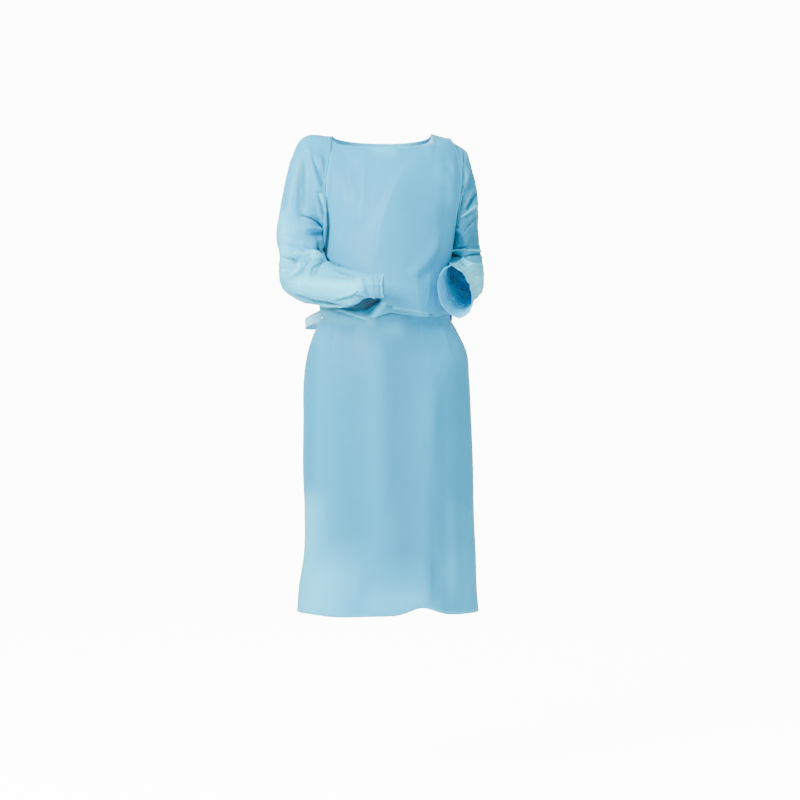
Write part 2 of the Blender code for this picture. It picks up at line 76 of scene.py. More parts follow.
NOISE_STEPS = (7.3, 3.1, 5.7)   # how far apart the noises of two seeds lie
FINER = 0.55             # size and seed of the crests' second noise against the first
FINER_SEED = 3
CREST_SHARPNESS = 3.0
CREST_SHARE = 0.6        # share of the crests that is even, and how much the second noise varies them
CREST_SPREAD = 0.8

# The crooks, where the sleeves rest on the body
LEAN_START = 0.012       # the sleeves lean on the body from this far above the underarm
LEAN_EASE = 0.008
LEAN_REACH = 0.016       # and where they are nearer to it than this
LEAN_SPACE = 0.0002
RIGHT_LEAN_END = -0.252
LEFT_LEAN_END = -0.284
REST_REACH = 0.03        # the body's film is smooth down to this far below the crooks, where the sleeves
REST_WIDTH = 0.105       # may rest on it, from this far out
REST_EASE = 0.02

# Seams and edges
SEAM_FADE = 2            # columns from a seam over which waves and creases rise
NECK_FADE = 3            # rows from the neck edge, and rings from the armhole, over which they do
ARMHOLE_FADE = 6
SEAM_ROLL = 0.0010       # how far the front stands up beside an armhole seam
SEAM_ROLL_COLUMN = 2.5   # that roll's middle and half width, in columns from the seam
SEAM_ROLL_WIDTH = 1.6
SEAM_ROLL_START = 8      # rows from the neck edge over which the roll rises
SEAM_ROLL_END = 0.02     # height over the underarm over which it dies away
# painted highlight along the roll
SEAM_ROLL_HIGHLIGHT = 0.25
SIDE_SEAM_HIGHLIGHT = 0.35    # share of the roll's painted highlight that a side seam takes against an armhole seam
SEAM_VALLEY = 0.0022     # how far a sleeve sinks beside the seam
SEAM_VALLEY_ROW = 5.0    # the valley's middle and half width, in rings from the seam
SEAM_VALLEY_WIDTH = 3.0
SEAM_VALLEY_START = 2
SEAM_VALLEY_TOP = 0.07   # heights below the shoulder line, and over the underarm, over which it rises
SEAM_VALLEY_FOOT = 0.04
# painted shade in that valley, and the height below the shoulder line over which it rises
SEAM_VALLEY_SHADE = 0.30
SEAM_VALLEY_SHADE_TOP = 0.06
# painted highlights along the cut edges: neck, back opening, hem and cuffs
NECK_HIGHLIGHT = 0.6
NECK_CORNER = 0.006      # length over which the neck edge's painted highlight ends at its corners
OPENING_HIGHLIGHT = 0.6
HEM_HIGHLIGHT = 0.45
CUFF_HIGHLIGHT = 0.30

# Drawn creases and folds
PANEL_CREASES = 1.0      # the panels' and the sleeves' creases against their heights in the tables
SLEEVE_CREASES = 2.9
CREASE_ENDS = 0.45       # a crease's height at its ends, its phase there and its fading beyond them
CREASE_PHASE = 0.15
CREASE_FADING = 1.6
TIP_RADIUS = 0.10        # tip and flanks of a sharp crease, against its half width
FLANK_WIDTH = 0.6
TROUGH_SHADE = 0.0060    # painted shade in the creases' troughs: the trough depth over which it rises by one, where it starts and its most
TROUGH_START = 0.2
TROUGH_LIMIT = 0.38
FOLD_POINTS = 25         # points on each fold's curve, and the share of it over which it rises and dies away
FOLD_RISE = 0.22
FOLD_ENDS = 0.15
SOFT_SHADE = 0.012       # shades narrower than this have a crisp edge
# How much of a thing a surface takes by the way that it faces: slope and offset of an eased step
LIP_TURN = (2.0, 0.3)
CREASE_TURN = (2.5, 0.15)
FOLD_TURN = (2.0, 0.3)
CRISP_TURN = (2.5, 0.9)
SOFT_TURN = (1.5, 0.4)
LEAN_TURN = (2.0, -0.2)

# Tie strips, with a crease along their middle and a weaker ridge beside it
STRIP_CURL = 0.0010
STRIP_WAVE = 0.0012
STRIP_WAVE_SIZE = (0.016, 0.016, 0.016)
STRIP_SEED = 21
STRIP_ROWS = 17
STRIP_COLUMNS = 120
STRIP_CREASE = 0.0016    # depth of the crease
STRIP_CREASE_WIDTH = 0.16
# painted shade in the crease
STRIP_CREASE_SHADE = 0.4
STRIP_MIDDLE = Sway(0.25, 0.22, 1.3, 0.8)   # where it runs, across the strip, and how deep it is there
STRIP_DEPTH = Sway(0.55, 0.45, 2.1, 0.0)
STRIP_RIDGE_PLACE = Sway(0.45, 0.2, 1.7, 0.0)
STRIP_RIDGE = 0.5
STRIP_RIDGE_WIDTH = 0.18
STRIP_LIGHT = 0.3         # painted light over the strip, painted highlights at its edges, and where they begin
STRIP_EDGE_HIGHLIGHT = 0.5
STRIP_EDGE = 0.8

# Film's surface
EMBOSS_SCALE = 900.0     # embossed cells in a metre
ROUGHNESS_SPREAD = 0.06
TINT_NOISE = (7.0, 3.0)  # scale and detail
ROUGHNESS_NOISE = (34.0, 4.0)
RELIEF_NOISE = (55.0, 5.0)
EMBOSS = {"Strength": 0.10, "Distance": 0.0003}
RELIEF = {"Strength": 0.25, "Distance": 0.0014}
FILM_SURFACE = {
    "Metallic": 0.0, "IOR": 1.45, "Specular IOR Level": 0.16,
    "Sheen Weight": 0.03, "Sheen Roughness": 0.4, "Sheen Tint": (0.6, 0.9, 1.0, 1.0),
    "Subsurface Weight": 0.5, "Subsurface Radius": (0.3, 0.9, 1.0), "Subsurface Scale": 0.0008,
}
# A film's colours: the two ends of its uneven tint, the colour of its painted shade, the colour of its
# painted light, and its roughness
Tint = namedtuple("Tint", "name light dark deep pale roughness")
PANEL_TINT = Tint("panel_film", (0.013, 0.328, 0.545), (0.009, 0.297, 0.515),
                  (0.006, 0.030, 0.056), (0.10, 0.72, 0.95), 0.46)
# The sleeves are the same film, painted lighter than the panels: painted light on the sleeves
SLEEVE_TINT = Tint("sleeve_film", (0.016, 0.375, 0.605), (0.012, 0.340, 0.565),
                   (0.005, 0.028, 0.054), (0.10, 0.80, 1.00), 0.38)
STRIP_TINT = Tint("strip_film", (0.120, 0.540, 0.760), (0.095, 0.490, 0.710),
                  (0.025, 0.250, 0.450), (0.45, 0.80, 0.92), 0.36)

# Body, as in the solids
NECK_RIGHT = 0.112
NECK_LEFT = 0.097
SHOULDER_DROP = 0.0096
RIDGE_ARCH = 0.009
RIDGE_WIDTH = 0.08
RIDGE_START = 0.5        # share of that width at which the arch begins
NECK_HOLLOW = 0.5
BACK_CLOSED = 0.0005     # the back halves meet where their gap is less than this
UNDERARM = -0.212
# How far the armholes reach into the panels, in degrees, by side and by front (True) or back (False)
REACH = {(-1, True): 30.0, (-1, False): 30.0, (1, True): 20.0, (1, False): 34.0}
ARMHOLE_ROUNDNESS = 0.6
ROUNDNESS = 0.92
SIDE_SEAM_TURN = 7.0
SIDE_SEAM_EASE = 0.08
ARMHOLE_SECTIONS = 7
SLEEVE_EASE = 6.0
SLEEVE_SPACE = 0.0019
ARMHOLE_STEP = 0.0030
UPRIGHT_SECTIONS = 2
TURN_SECTIONS = 3.0

# Grid
ROW_DETAIL = 6            # rows here for each row of the solids
FRONT_COLUMNS = 176
BACK_COLUMNS = 84
SLEEVE_RINGS = 246        # rings from the armhole to the cuff
SLEEVE_COLUMNS = 196      # points round each, closer together on the front
FRONT_CROWDING = 0.35

Section = namedtuple("Section", "z_front y_front z_side right left z_back y_back gap wave steps")
BODY = in_metres(Section, 8, (
    (-38.6, -75, -1, 112, 131, -12, 88, 0.1, 0, 2),   # neck edge
    (-60, -90, -30, 119, 150, -40, 96, 0.1, 0, 2),
    (-85, -102, -60, 131, 168, -66, 100, 0.1, 0, 2),
    (-115, -112, -95, 141, 174, -98, 102, 8, 0, 2),
    (-145, -120, -135, 141, 168, -135, 103, 14, 0, 2),
    (-175, -125, -172, 136, 157, -172, 103, 18, 0, 1),
    (-200, -128, -198, 133, 151, -198, 102, 20, 0, 1),
    (-214, -130, -212, 131.8, 149, -212, 101, 21, 0, 2),   # underarm
    (-255, -134, -250, 130.2, 143, -250, 99, 23, 0, 2),
    (-305, -140, -300, 129, 137, -300, 100, 24, 0.1, 2),
    (-348, -146, -342, 133, 137.5, -340, 106, 22, 0.4, 2),
    (-377, -148, -364, 138, 141, -364, 110, 20, 0.8, 1),
    (-388, -144, -374, 139, 142, -380, 108, 19, 1, 1),   # blouse lip
    (-390, -134, -380, 137, 141, -385, 101, 19, 1, 1),
    (-383, -124, -384, 134.5, 138, -384, 94, 19, 0.9, 1),
    (-374, -115, -389, 133, 137, -387, 91.5, 19, 0.7, 1),   # tucked line
    (-379, -109, -395, 133, 138, -399, 91.2, 20, 0.5, 1),
    (-393, -108, -404, 137, 143, -412, 91.8, 22, 0.3, 1),
    (-418, -112, -419, 148, 153, -430, 97, 26, 0.1, 2),   # skirt
    (-465, -120, -465, 164, 174, -468, 110, 32, 0, 2),
    (-520, -126, -520, 172, 179, -520, 118, 38, 0, 2),
    (-600, -129, -600, 173, 183, -600, 122, 45, 0, 2),
    (-700, -131, -700, 173, 187, -700, 124, 52, 0, 2),
    (-800, -132, -800, 170, 189, -800, 126, 58, 0, 2),
    (-900, -134, -900, 173, 193, -900, 129, 64, 0, 2),
    (-965, -136, -965, 183, 195, -965, 131, 68, 0, 1),
    (-1012, -137, -1012, 187, 199, -1012, 132, 70, 0, 0),   # hem
))
RIDGE_ROWS = 2 * BODY[0].steps * ROW_DETAIL   # rows that the arch beside the shoulder ridge covers

LipPoint = namedtuple("LipPoint", "x rise")
LIP_WAVE = in_metres(LipPoint, 2, (
    (-140, 13), (-128, 12), (-81, 0), (-50, -8.5), (-35, -13.5), (-13, -4.2), (11, 3.5), (42, -1), (93, -6),
    (143, -3),
))

HemRise = namedtuple("HemRise", "x rise half_width")
HEM_RISES = in_metres(HemRise, 3, ((80, 18, 36), (-100, -4, 50)))
HEM_RISE_HEIGHT = 0.16

# Sleeves, as in the solids: each ring runs from its outer point to its inner point
SleeveSection = namedtuple("SleeveSection", "x_out y_out z_out x_in y_in z_in half_depth")
RIGHT_SLEEVE = in_metres(SleeveSection, 7, (
    (-160, 0, -3, -134.5, 2, -216.5, 56),
    (-188.7, 0, -28, -134.5, 1, -220, 56),
    (-203.5, 0, -78, -134, -3, -224, 54),
    (-219.5, 2, -146, -133, -10, -230, 52),
    (-227.5, 6, -197, -131.4, -20, -238, 50),
    (-228, 8, -231, -129.4, -32, -247, 47),
    (-218, 6, -268, -127.2, -46, -257, 44),
    (-218, -4, -303, -125, -68, -266, 40),
    (-206.7, -30, -338, -124, -106, -277, 38),
    (-169, -85, -362, -105, -146, -288, 36),
    (-133.8, -136, -372, -80, -172, -298, 36),
    (-97.6, -172, -377, -62, -188, -302, 34),
    (-65, -190, -373, -45, -198, -305.5, 31),
    (-40, -200, -360, -30, -204, -307, 28),
    (2, -210, -358.5, 4, -212, -308.5, 26),
))
LEFT_SLEEVE = in_metres(SleeveSection, 7, (
    (161, 4, -29, 152, 6, -218, 50),
    (176, 8, -44, 152, 10, -222, 50),
    (184, 14, -78, 151, 14, -227, 50),
    (195, 22, -129, 148.7, 18, -234, 50),
    (197, 30, -180, 145.8, 26, -242, 48),
    (198.5, 38, -222, 143.8, 26, -251, 44),
    (201, 42, -258, 142.6, 18, -261, 39),
    (200, 40, -302, 143.2, -18, -270, 34),
    (199, 22, -335, 145, -62, -277, 32),
    (189, -18, -353, 142, -94, -283, 32),
    (175, -64, -366, 139, -124, -288, 33),
    (166, -112, -380, 134, -150, -292, 34),
    (162, -155, -393, 130, -168, -295, 34),
    (159, -190, -398, 128, -182, -297, 33),
))

# Waist ties, as in the solids: height of their middle line and its distance from the waist, by angle
# round the body from the front
TiePoint = namedtuple("TiePoint", "height stand_off angle")
RIGHT_TIE = in_metres(TiePoint, 2, (
    (-384, 1, 92), (-386, 7.2, 98.5), (-395, 34, 105), (-403, 56, 113), (-403, 32, 122), (-401, 9, 132),
    (-400, 4.2, 145), (-400, 4.2, 172.48),
))
LEFT_TIE = in_metres(TiePoint, 2, (
    (-387, 6.2, 98.5), (-392, 6.2, 108), (-397, 5.2, 122), (-400, 4.2, 140), (-400, 4.2, 172.8),
))
TIE_WIDTH = 0.022
TIE_NARROW = 0.5          # a strip's width at the knot, and the length over which it widens
TIE_NARROW_LENGTH = 0.030
TIE_NARROW_START = 0.6
END_NARROW_POINTS = 1.1
KNOT_SIZE = (0.0425, 0.021, 0.034)
KNOT_CENTRE = (0.0, 0.0965, -0.400)
KNOT_COLUMNS = 96
KNOT_ROWS = 49
KNOT_FILL = 0.97         # the knot's size against its solid's box
KNOT_SQUARENESS = 0.8
KNOT_GROOVE = 0.16
KNOT_NARROW = 0.05       # how much smaller it is beside the band
KNOT_BAND = 0.46         # half width of the slanting band over the knot, as a share of its half height
KNOT_SLANT = (0.9, 0.35, 0.05)   # the band's place across, up and on
KNOT_BAND_EDGE = 0.11
KNOT_BAND_LINES = (12.0, 1.5, 1.0, 0.28)   # folds along the band: their number, slant, phase and depth
KNOT_GATHERS = 8.0       # gathers beside it
KNOT_FAN = 0.4           # how much they spread towards the ties
KNOT_GATHER_BEND = 2.0
KNOT_GATHER_DEPTH = 0.65
KNOT_GATHER_EASE = 0.25
# painted shade in the knot's grooves
KNOT_SHADE = 0.75

EndPoint = namedtuple("EndPoint", "x y z")
RIGHT_END = in_metres(EndPoint, 3, (
    (-7, 97, -414.5), (-12, 101, -435), (-19, 113, -470), (-23, 124, -520), (-28, 129, -570),
    (-30, 129, -598),
))
LEFT_END = in_metres(EndPoint, 3, (
    (7, 97, -414.3), (15, 102, -435), (24, 114, -470), (33, 124, -515), (39, 128.5, -560), (40, 129, -575),
))

# Light
Lamp = namedtuple("Lamp", "name place target size power colour")
LAMPS = (
    Lamp("key", (-1.7, -2.3, 1.2), (0.0, 0.0, -0.3), (1.2, 1.2), 290.0, (1.0, 0.99, 0.97)),
    Lamp("fill", (1.2, -3.6, -0.3), (0.0, 0.0, -0.5), (2.4, 2.4), 104.0, (0.97, 0.99, 1.0)),
    Lamp("rim", (-1.0, 2.6, 1.6), (0.0, 0.0, -0.4), (1.6, 1.6), 70.0, (1.0, 1.0, 1.0)),
)
AMBIENT = 1.06
AMBIENT_COLOUR = (0.97, 0.985, 1.0, 1.0)
WHITE = (1.0, 1.0, 1.0, 1.0)
BACKDROP = 13.0
FLOOR = -1.37
FLOOR_RADIUS = 9.0
FLOOR_CORNERS = 96
FLOOR_GLOW = 12.0
FLOOR_ROUGHNESS = 0.7
FLOOR_DARK = (0.88, 0.88, 0.88)
FLOOR_LIGHT = (0.92, 0.92, 0.92)
FLOOR_NOISE = (3.0, 2.0)

# Camera: level, in front, at the height of the elbows
CAMERA = Vector((0.032, -4.5, -0.566))
LENS = 95.5
SENSOR = 36.0

# Creases, drawn as the camera sees them on the plane y = 0. A ridge has a positive height, a trough a
# negative one; half_width is across it; sharp is 0 for a soft round fold and 1 for a crisp crease.
Crease = namedtuple("Crease", "x0 z0 x1 z1 height half_width sharp")
FRONT_CREASES = in_metres(Crease, 6, (
    # corners of the neck
    (-112.4, -10.6, -114.5, -42.4, -3.4, 2.2, 0.8), (-104.9, -14.8, -107.1, -40.3, 1.4, 3, 0.3),
    (110.2, -8.5, 108.1, -42.4, -1.1, 7.5, 0.1), (97.5, -19.1, 95.4, -53, 0.6, 7, 0.2),
    # beside the armhole seams
    (-108.1, -67.8, -114.5, -173.8, 1.8, 6, 0.1), (-99.6, -57.2, -95.4, -173.8, -1.5, 9, 0),
    (144.2, -57.2, 148.4, -152.6, 1.8, 7, 0.1), (129.3, -67.8, 125.1, -205.6, -1.8, 10, 0),
    # below the right forearm
    (-118.7, -273.5, -91.2, -284.1, -2.2, 3, 0.7), (-91.2, -284.1, -46.6, -292.6, -1.4, 3, 0.6),
    (-99.6, -273.5, -70, -284.1, 1.5, 4, 0.3),
    # towards the left cuff
    (82.7, -273.5, 112.4, -320.1, 1.4, 11, 0), (118.7, -286.2, 108.1, -322.2, 1, 6, 0.1),
    # hollow under the right cuff and the facet beside it
    (-125.1, -373.1, -84.8, -373.1, -3.5, 5, 0.3), (-84.8, -373.1, -40.3, -373.1, -9, 11, 0.2),
    (-44.5, -371, -14.8, -354, -6, 8, 0.3), (-1, -356, -32, -392.2, 4.5, 5.5, 0.6),
    (2.1, -377.4, -17, -385.8, 2.5, 7, 0.3), (-12.7, -364.6, 14.8, -369.9, -2, 3, 0.7),
    (14.8, -369.9, 95.4, -383.7, -1.8, 3, 0.6), (14.8, -377.4, 95.4, -389, 2.2, 4, 0.4),
    (95.4, -383.7, 148.4, -381.6, -1.6, 3, 0.5), (99.6, -390.1, 154.8, -388, 1.8, 4, 0.3),
    # gathers of the skirt
    (-100, -395, -112, -450, 1.8, 6, 0.4), (-60, -392, -68, -440, 1.4, 5, 0.4),
    (75, -388, 84, -440, 1.6, 6, 0.4), (118, -395, 135, -455, 1.8, 6, 0.4),
))
BACK_CREASES = in_metres(Crease, 6, (
    # gathers under the ties
    (-45, -395, -52, -455, 2, 6, 0.3), (-80, -395, -90, -445, 2, 6, 0.3),
    (-108, -398, -124, -470, 2.2, 7, 0.3), (50, -395, 56, -450, 2, 6, 0.3),
    (85, -395, 98, -465, 2.2, 7, 0.3), (115, -398, 130, -440, 1.8, 6, 0.3),
    # folds over the ties
    (-55, -300, -48, -375, 2.2, 7, 0.3), (-95, -310, -88, -375, 2, 7, 0.3),
    (60, -290, 55, -375, 2.2, 7, 0.3), (100, -310, 94, -375, 2, 7, 0.3),
))
RIGHT_SLEEVE_CREASES = in_metres(Crease, 6, (
    # from the shoulder seam down to the underarm
    (-152.6, -53, -133.6, -108.1, -2.6, 3.2, 0.7), (-133.6, -108.1, -125.1, -171.7, -3, 3, 0.7),
    (-142, -135.7, -127.2, -178.1, -2.4, 2.6, 0.7), (-133.6, -57.2, -127.2, -142, 2.4, 4.5, 0.3),
    (-161.1, -36, -144.2, -110.2, 1.8, 7, 0.1), (-178.1, -67.8, -180.2, -167.5, -2, 11, 0),
    (-197.2, -67.8, -205.6, -173.8, 1.6, 9, 0),
    # hooked crease above the crook
    (-176, -173.8, -156.9, -180.2, -0.9, 2.2, 0.4), (-156.9, -180.2, -142, -188.7, -0.9, 2.2, 0.4),
    (-142, -188.7, -127.2, -208.8, -0.9, 2.2, 0.4), (-169.6, -167.5, -144.2, -177, 1.6, 3.5, 0.5),
    (-139.9, -180.2, -125.1, -203.5, 1.6, 3, 0.5), (-161.1, -216.2, -131.4, -212, -1, 5, 0.3),
    (-167.5, -201.4, -135.7, -202.5, 1.8, 4, 0.3), (-139.9, -239.6, -131.4, -254.4, -1.6, 3, 0.4),
    # folds of the elbow
    (-216.2, -263.9, -195, -267.1, -2.8, 2.6, 0.8), (-212, -226.8, -173.8, -243.8, 1.6, 5, 0.3),
    (-173.8, -243.8, -142, -256.5, 2.2, 3.6, 0.5), (-180.2, -252.3, -142, -243.8, -1.6, 4, 0.3),
    (-195, -273.5, -176, -260.8, -1.8, 4, 0.4), (-180.2, -267.1, -133.6, -261.8, 2.8, 3.6, 0.6),
    (-197.2, -309.5, -167.5, -282, -2.2, 5, 0.3), (-209.9, -292.6, -173.8, -273.5, 2.2, 5, 0.3),
    (-154.8, -301, -133.6, -275.6, -2.6, 4.2, 0.4), (-167.5, -286.2, -142, -271.4, 2, 4.5, 0.3),
    (-144.2, -288.3, -110.2, -273.5, 2.2, 4.5, 0.3), (-216.2, -286.2, -192.9, -286.2, -1.4, 5, 0.2),
    # along the forearm
    (-199, -340, -154.8, -355, -1.3, 2.6, 0.6), (-154.8, -355, -97, -365.5, -1.3, 2.4, 0.6),
    (-185, -351, -116.6, -366.8, 1.2, 3, 0.3), (-180.2, -318, -95.4, -326.5, 1.6, 9, 0),
    (-137.8, -303.2, -70, -307.4, -1.2, 8, 0), (-103.9, -290.4, -70, -298.9, -1.2, 4, 0.4),
    # crumpled wrist
    (-103.9, -356.2, -70, -348.7, -2, 2.6, 0.7), (-70, -348.7, -59.4, -339.2, -2, 2.4, 0.7),
    (-95.4, -347.7, -65.7, -339.2, 1.4, 3.5, 0.4), (-63.6, -344.5, -44.5, -350.9, -2, 2.2, 0.7),
    (-84.8, -361.5, -55.1, -356.2, 1.8, 3, 0.5), (-59.4, -367.8, -36, -351.9, 2.2, 3, 0.6),
    (-82.7, -366.8, -59.4, -367.8, -1.6, 2.4, 0.6), (-44.5, -311.6, -36, -345.6, -1.4, 3.5, 0.3),
    (-27.6, -307.4, -23.3, -354, 1.2, 3.5, 0.3), (-10.6, -309.5, -10.6, -354, -1.4, 3, 0.4),
    (-36, -322.2, -2.1, -320.1, 1, 4, 0.2),
))
LEFT_SLEEVE_CREASES = in_metres(Crease, 6, (
    # from the shoulder down to the underarm
    (169, -40.3, 169.5, -110.2, -1.6, 3, 0.5), (169.5, -110.2, 165, -150, -1.4, 3.4, 0.4),
    (178.1, -67.8, 170.7, -112.4, 2.2, 3.6, 0.5), (184.4, -74.2, 190.8, -125.1, 1.5, 5, 0.1),
    (191.9, -129.3, 176, -159, -2.4, 2.6, 0.7), (184.4, -123, 171.7, -154.8, 1.6, 3.2, 0.4),
    # fold across the upper arm
    (164, -176.5, 178, -167, 1.4, 2.6, 0.6), (178, -167, 197.2, -150, 1.4, 2.6, 0.6),
    (165, -183.5, 178, -174, -0.9, 2.6, 0.5), (178, -176, 197.2, -162, -1.2, 2.4, 0.6),
    (197.2, -173.8, 170, -208, -1.2, 3, 0.5), (186.6, -188.7, 197.2, -226.8, 1.3, 5, 0.1),
    (162, -201.4, 170, -233.2, 1, 6, 0.1),
    # folds of the elbow
    (139.9, -248, 169.6, -250.2, 2.4, 2.8, 0.7), (169.6, -250.2, 203.5, -250.2, 2.4, 2.8, 0.7),
    (142, -257.6, 203.5, -257.6, -3, 2.6, 0.8), (169.6, -265, 203.5, -263.9, 1.6, 3, 0.5),
    (137.8, -275.6, 163.2, -262.9, -2.6, 6, 0.3), (131.4, -286.2, 150.5, -283, 1.8, 2.8, 0.6),
    (150.5, -283, 165.4, -269.2, 2.2, 2.8, 0.7), (165.4, -269.2, 184.4, -284.1, 2.4, 2.8, 0.7),
    (165.4, -277.7, 188.7, -292.6, -2.4, 3, 0.6), (171.7, -267.1, 203.5, -275.6, -1.6, 2.6, 0.6),
    (180.2, -282, 203.5, -277.7, 1.6, 3, 0.4),
    # outside of the forearm
    (176, -294.7, 203.5, -303.2, -1.6, 4, 0.4), (180.2, -320.1, 201.4, -305.3, 1.8, 4, 0.4),
    (184.4, -330.7, 207.8, -318, -1.8, 3, 0.5), (163.2, -294.7, 176, -345.6, 1.6, 5, 0.2),
    (150.5, -290.4, 163.2, -320.1, -1.2, 4, 0.3),
))
# The same kind of folds on the sides that the photograph doesn't show
RIGHT_SLEEVE_BACK_CREASES = in_metres(Crease, 6, (
    (-142, -120.8, -180.2, -216.2, -2.4, 4, 0.5), (-137.8, -148.4, -156.9, -226.8, 2, 4, 0.4),
    (-133.6, -67.8, -152.6, -142, -2, 4, 0.5), (-178.1, -74.2, -188.7, -173.8, 2, 9, 0),
    (-201.4, -226.8, -142, -248, -2.6, 4, 0.5), (-209.9, -248, -146.3, -262.9, 2.4, 4, 0.5),
    (-205.6, -273.5, -154.8, -273.5, -2.2, 3, 0.6), (-214.1, -294.7, -167.5, -303.2, 1.8, 5, 0.3),
    (-201.4, -322.2, -154.8, -311.6, -1.8, 4, 0.4), (-216.2, -195, -180.2, -205.6, -1.6, 4, 0.4),
    (-180.2, -332.8, -116.6, -345.6, -2, 5, 0.3), (-116.6, -320.1, -70, -337.1, 1.6, 5, 0.2),
    (-70, -345.6, -40.3, -328.6, -1.8, 3, 0.5),
))
LEFT_SLEEVE_BACK_CREASES = in_metres(Crease, 6, (
    (163.2, -67.8, 171.7, -142, -2.2, 4, 0.5), (154.8, -142, 180.2, -216.2, 2, 5, 0.3),
    (150.5, -188.7, 188.7, -226.8, -2.4, 4, 0.5), (180.2, -99.6, 188.7, -173.8, 1.6, 7, 0),
    (148.4, -243.8, 201.4, -239.6, 2.4, 4, 0.5), (146.3, -260.8, 201.4, -260.8, -2.6, 3, 0.6),
    (154.8, -282, 201.4, -290.4, 2, 4, 0.4), (163.2, -307.4, 205.6, -315.9, -1.8, 4, 0.4),
    (159, -332.8, 188.7, -354, -1.6, 4, 0.3),
))

# Broad soft folds, drawn the same way along a curve. left and right are the half widths on the two sides
# of the curve, as the camera sees them where it runs down.
Fold = namedtuple("Fold", "height left right curve")
Place = namedtuple("Place", "x z")


def folds(*table):
    """Folds from a table's rows, whose curves are places like those of the creases."""
    return tuple(in_metres(Fold, 3, [(*row[:3], in_metres(Place, 2, row[3]))])[0] for row in table)


FRONT_FOLDS = folds(
    # chest
    (6.2, 9.5, 36, ((91, -49), (53, -70), (28, -100), (9, -142), (-6, -184), (-15, -237), (-19, -274))),
    (3.6, 12, 13, ((-40, -53), (-47, -100), (-53, -153), (-57, -210))),
    (-5.2, 14, 14, ((-102, -36), (-85, -74), (-70, -121), (-66, -150))),
    (5, 13, 8, ((125, -205), (117, -227), (100, -258), (74, -286), (50, -305))),
    (-3, 6, 10, ((110, -268), (92, -292), (72, -312))),
    (3, 16, 10, ((118, -60), (136, -110), (141, -170))),
    # skirt
    (6, 55, 22, ((-8, -405), (-8, -545), (-6, -672), (-2, -820))),
    (7, 40, 20, ((98, -520), (95, -620), (91, -735), (87, -905), (93, -985), (94, -1010))),
    (-5, 12, 20, ((110, -900), (106, -960), (104, -1012))),
    (4.5, 14, 24, ((-62, -720), (-59, -850), (-57, -930), (-61, -1010))),
    (5, 32, 16, ((-146, -600), (-140, -760), (-133, -870), (-118, -1010))),
    (3, 12, 12, ((146, -760), (150, -880), (152, -1000))),
    (-2.5, 18, 18, ((-105, -560), (-100, -680), (-96, -780))),
)
BACK_FOLDS = folds(
    # across the shoulder blades to the knot
    (7, 30, 20, ((-118, -110), (-100, -190), (-74, -270), (-46, -350))),
    (-4, 16, 16, ((-75, -110), (-70, -180), (-52, -260))),
    (5, 14, 24, ((-122, -240), (-104, -310), (-86, -365))),
    (6, 18, 32, ((128, -130), (112, -210), (86, -290), (56, -355))),
    (-4.5, 18, 14, ((92, -150), (72, -240), (50, -320))),
    (4, 12, 16, ((50, -120), (46, -200), (36, -290))),
    # hanging from the ties
    (7.5, 26, 18, ((-56, -420), (-66, -540), (-78, -700), (-84, -880))),
    (6, 22, 26, ((-106, -430), (-122, -560), (-134, -720), (-140, -900))),
    (-4.5, 16, 12, ((-88, -470), (-100, -620), (-108, -800))),
    (4, 14, 24, ((-112, -800), (-112, -900), (-116, -1012))),
    (7, 18, 30, ((58, -420), (70, -560), (86, -740), (96, -960))),
    (5.5, 28, 18, ((100, -430), (124, -560), (146, -740), (156, -900))),
    (-4.5, 12, 16, ((78, -480), (96, -640), (112, -840))),
    (3.5, 18, 14, ((126, -860), (128, -940), (130, -1012))),
)

# Painted shade: the colour is darker where shade falls, in seams where layers lie together, crooks, creases
# and hollows, under the cuffs and on sides turned from the light; drawn like the creases
Shade = namedtuple("Shade", "x0 z0 x1 z1 half_width amount")
SEAM_SHADES = in_metres(Shade, 5, (
    # painted shade at the armhole seams, where two layers lie together and the sleeves shade the body
    (-127.2, -108.1, -125.1, -135.7, 1.6, 0.6), (-125.1, -135.7, -121.2, -169.6, 2.6, 0.95),
    (-121.2, -169.6, -119.8, -201, 4.2, 1), (-120.4, -201, -122.5, -226.8, 4.8, 1),
    (-122.5, -226.8, -126.1, -259, 4.4, 1), (-125.5, -259, -119, -273.5, 2.2, 0.9),
    (-119, -273.5, -89, -284.1, 1.8, 0.55),
))
FRONT_SHADES = SEAM_SHADES + in_metres(Shade, 5, (
    (164, -116.6, 158, -154.8, 2.2, 0.4), (159, -154.8, 150, -200, 2, 0.5),
    # skirt: painted shade, darker towards the left side, away from the key light
    (30, -470, 45, -880, 60, 0.36), (-70, -450, -75, -840, 60, 0.28), (135, -530, 140, -760, 42, 0.24),
    (130, -760, 133, -1010, 32, 0.2), (124, -540, 124, -1010, 20, 0.26), (-156, -460, -156, -740, 18, 0.22),
    # corner of the neck
    (-113, -15, -115, -40, 1.6, 0.75),
    # chest
    (50, -130, 50, -280, 38, 0.12), (-96, -45, -70, -115, 18, 0.14),
    # painted shadow of the right cuff and forearm in the hollow under them
    (-133.6, -373, -105, -375.2, 2.8, 1), (-110, -373.1, -70, -375.2, 4.6, 1),
    (-76, -374.5, -48, -370, 8.5, 0.9), (-44, -370, -15, -354, 7.5, 1), (-62, -367, -28, -352, 8.5, 0.92),
    (-105, -378.5, -45, -385, 5.2, 0.5), (-45, -386, -33, -379, 5, 0.6), (-40, -389, -12, -358, 1.8, 0.75),
    (-12.7, -364.6, 14.8, -368.9, 1.6, 0.6), (19.1, -375.2, 99.6, -385.8, 1.8, 0.55),
    # painted shadow line under the lip's edge
    (-110, -379.5, -70, -388, 1.2, 0.55), (-42, -396.5, -10.6, -387.5, 1.7, 1),
    (-10.6, -388.5, 14.8, -382, 1.5, 0.85), (14.8, -382, 95.4, -390.1, 1.4, 0.7),
))
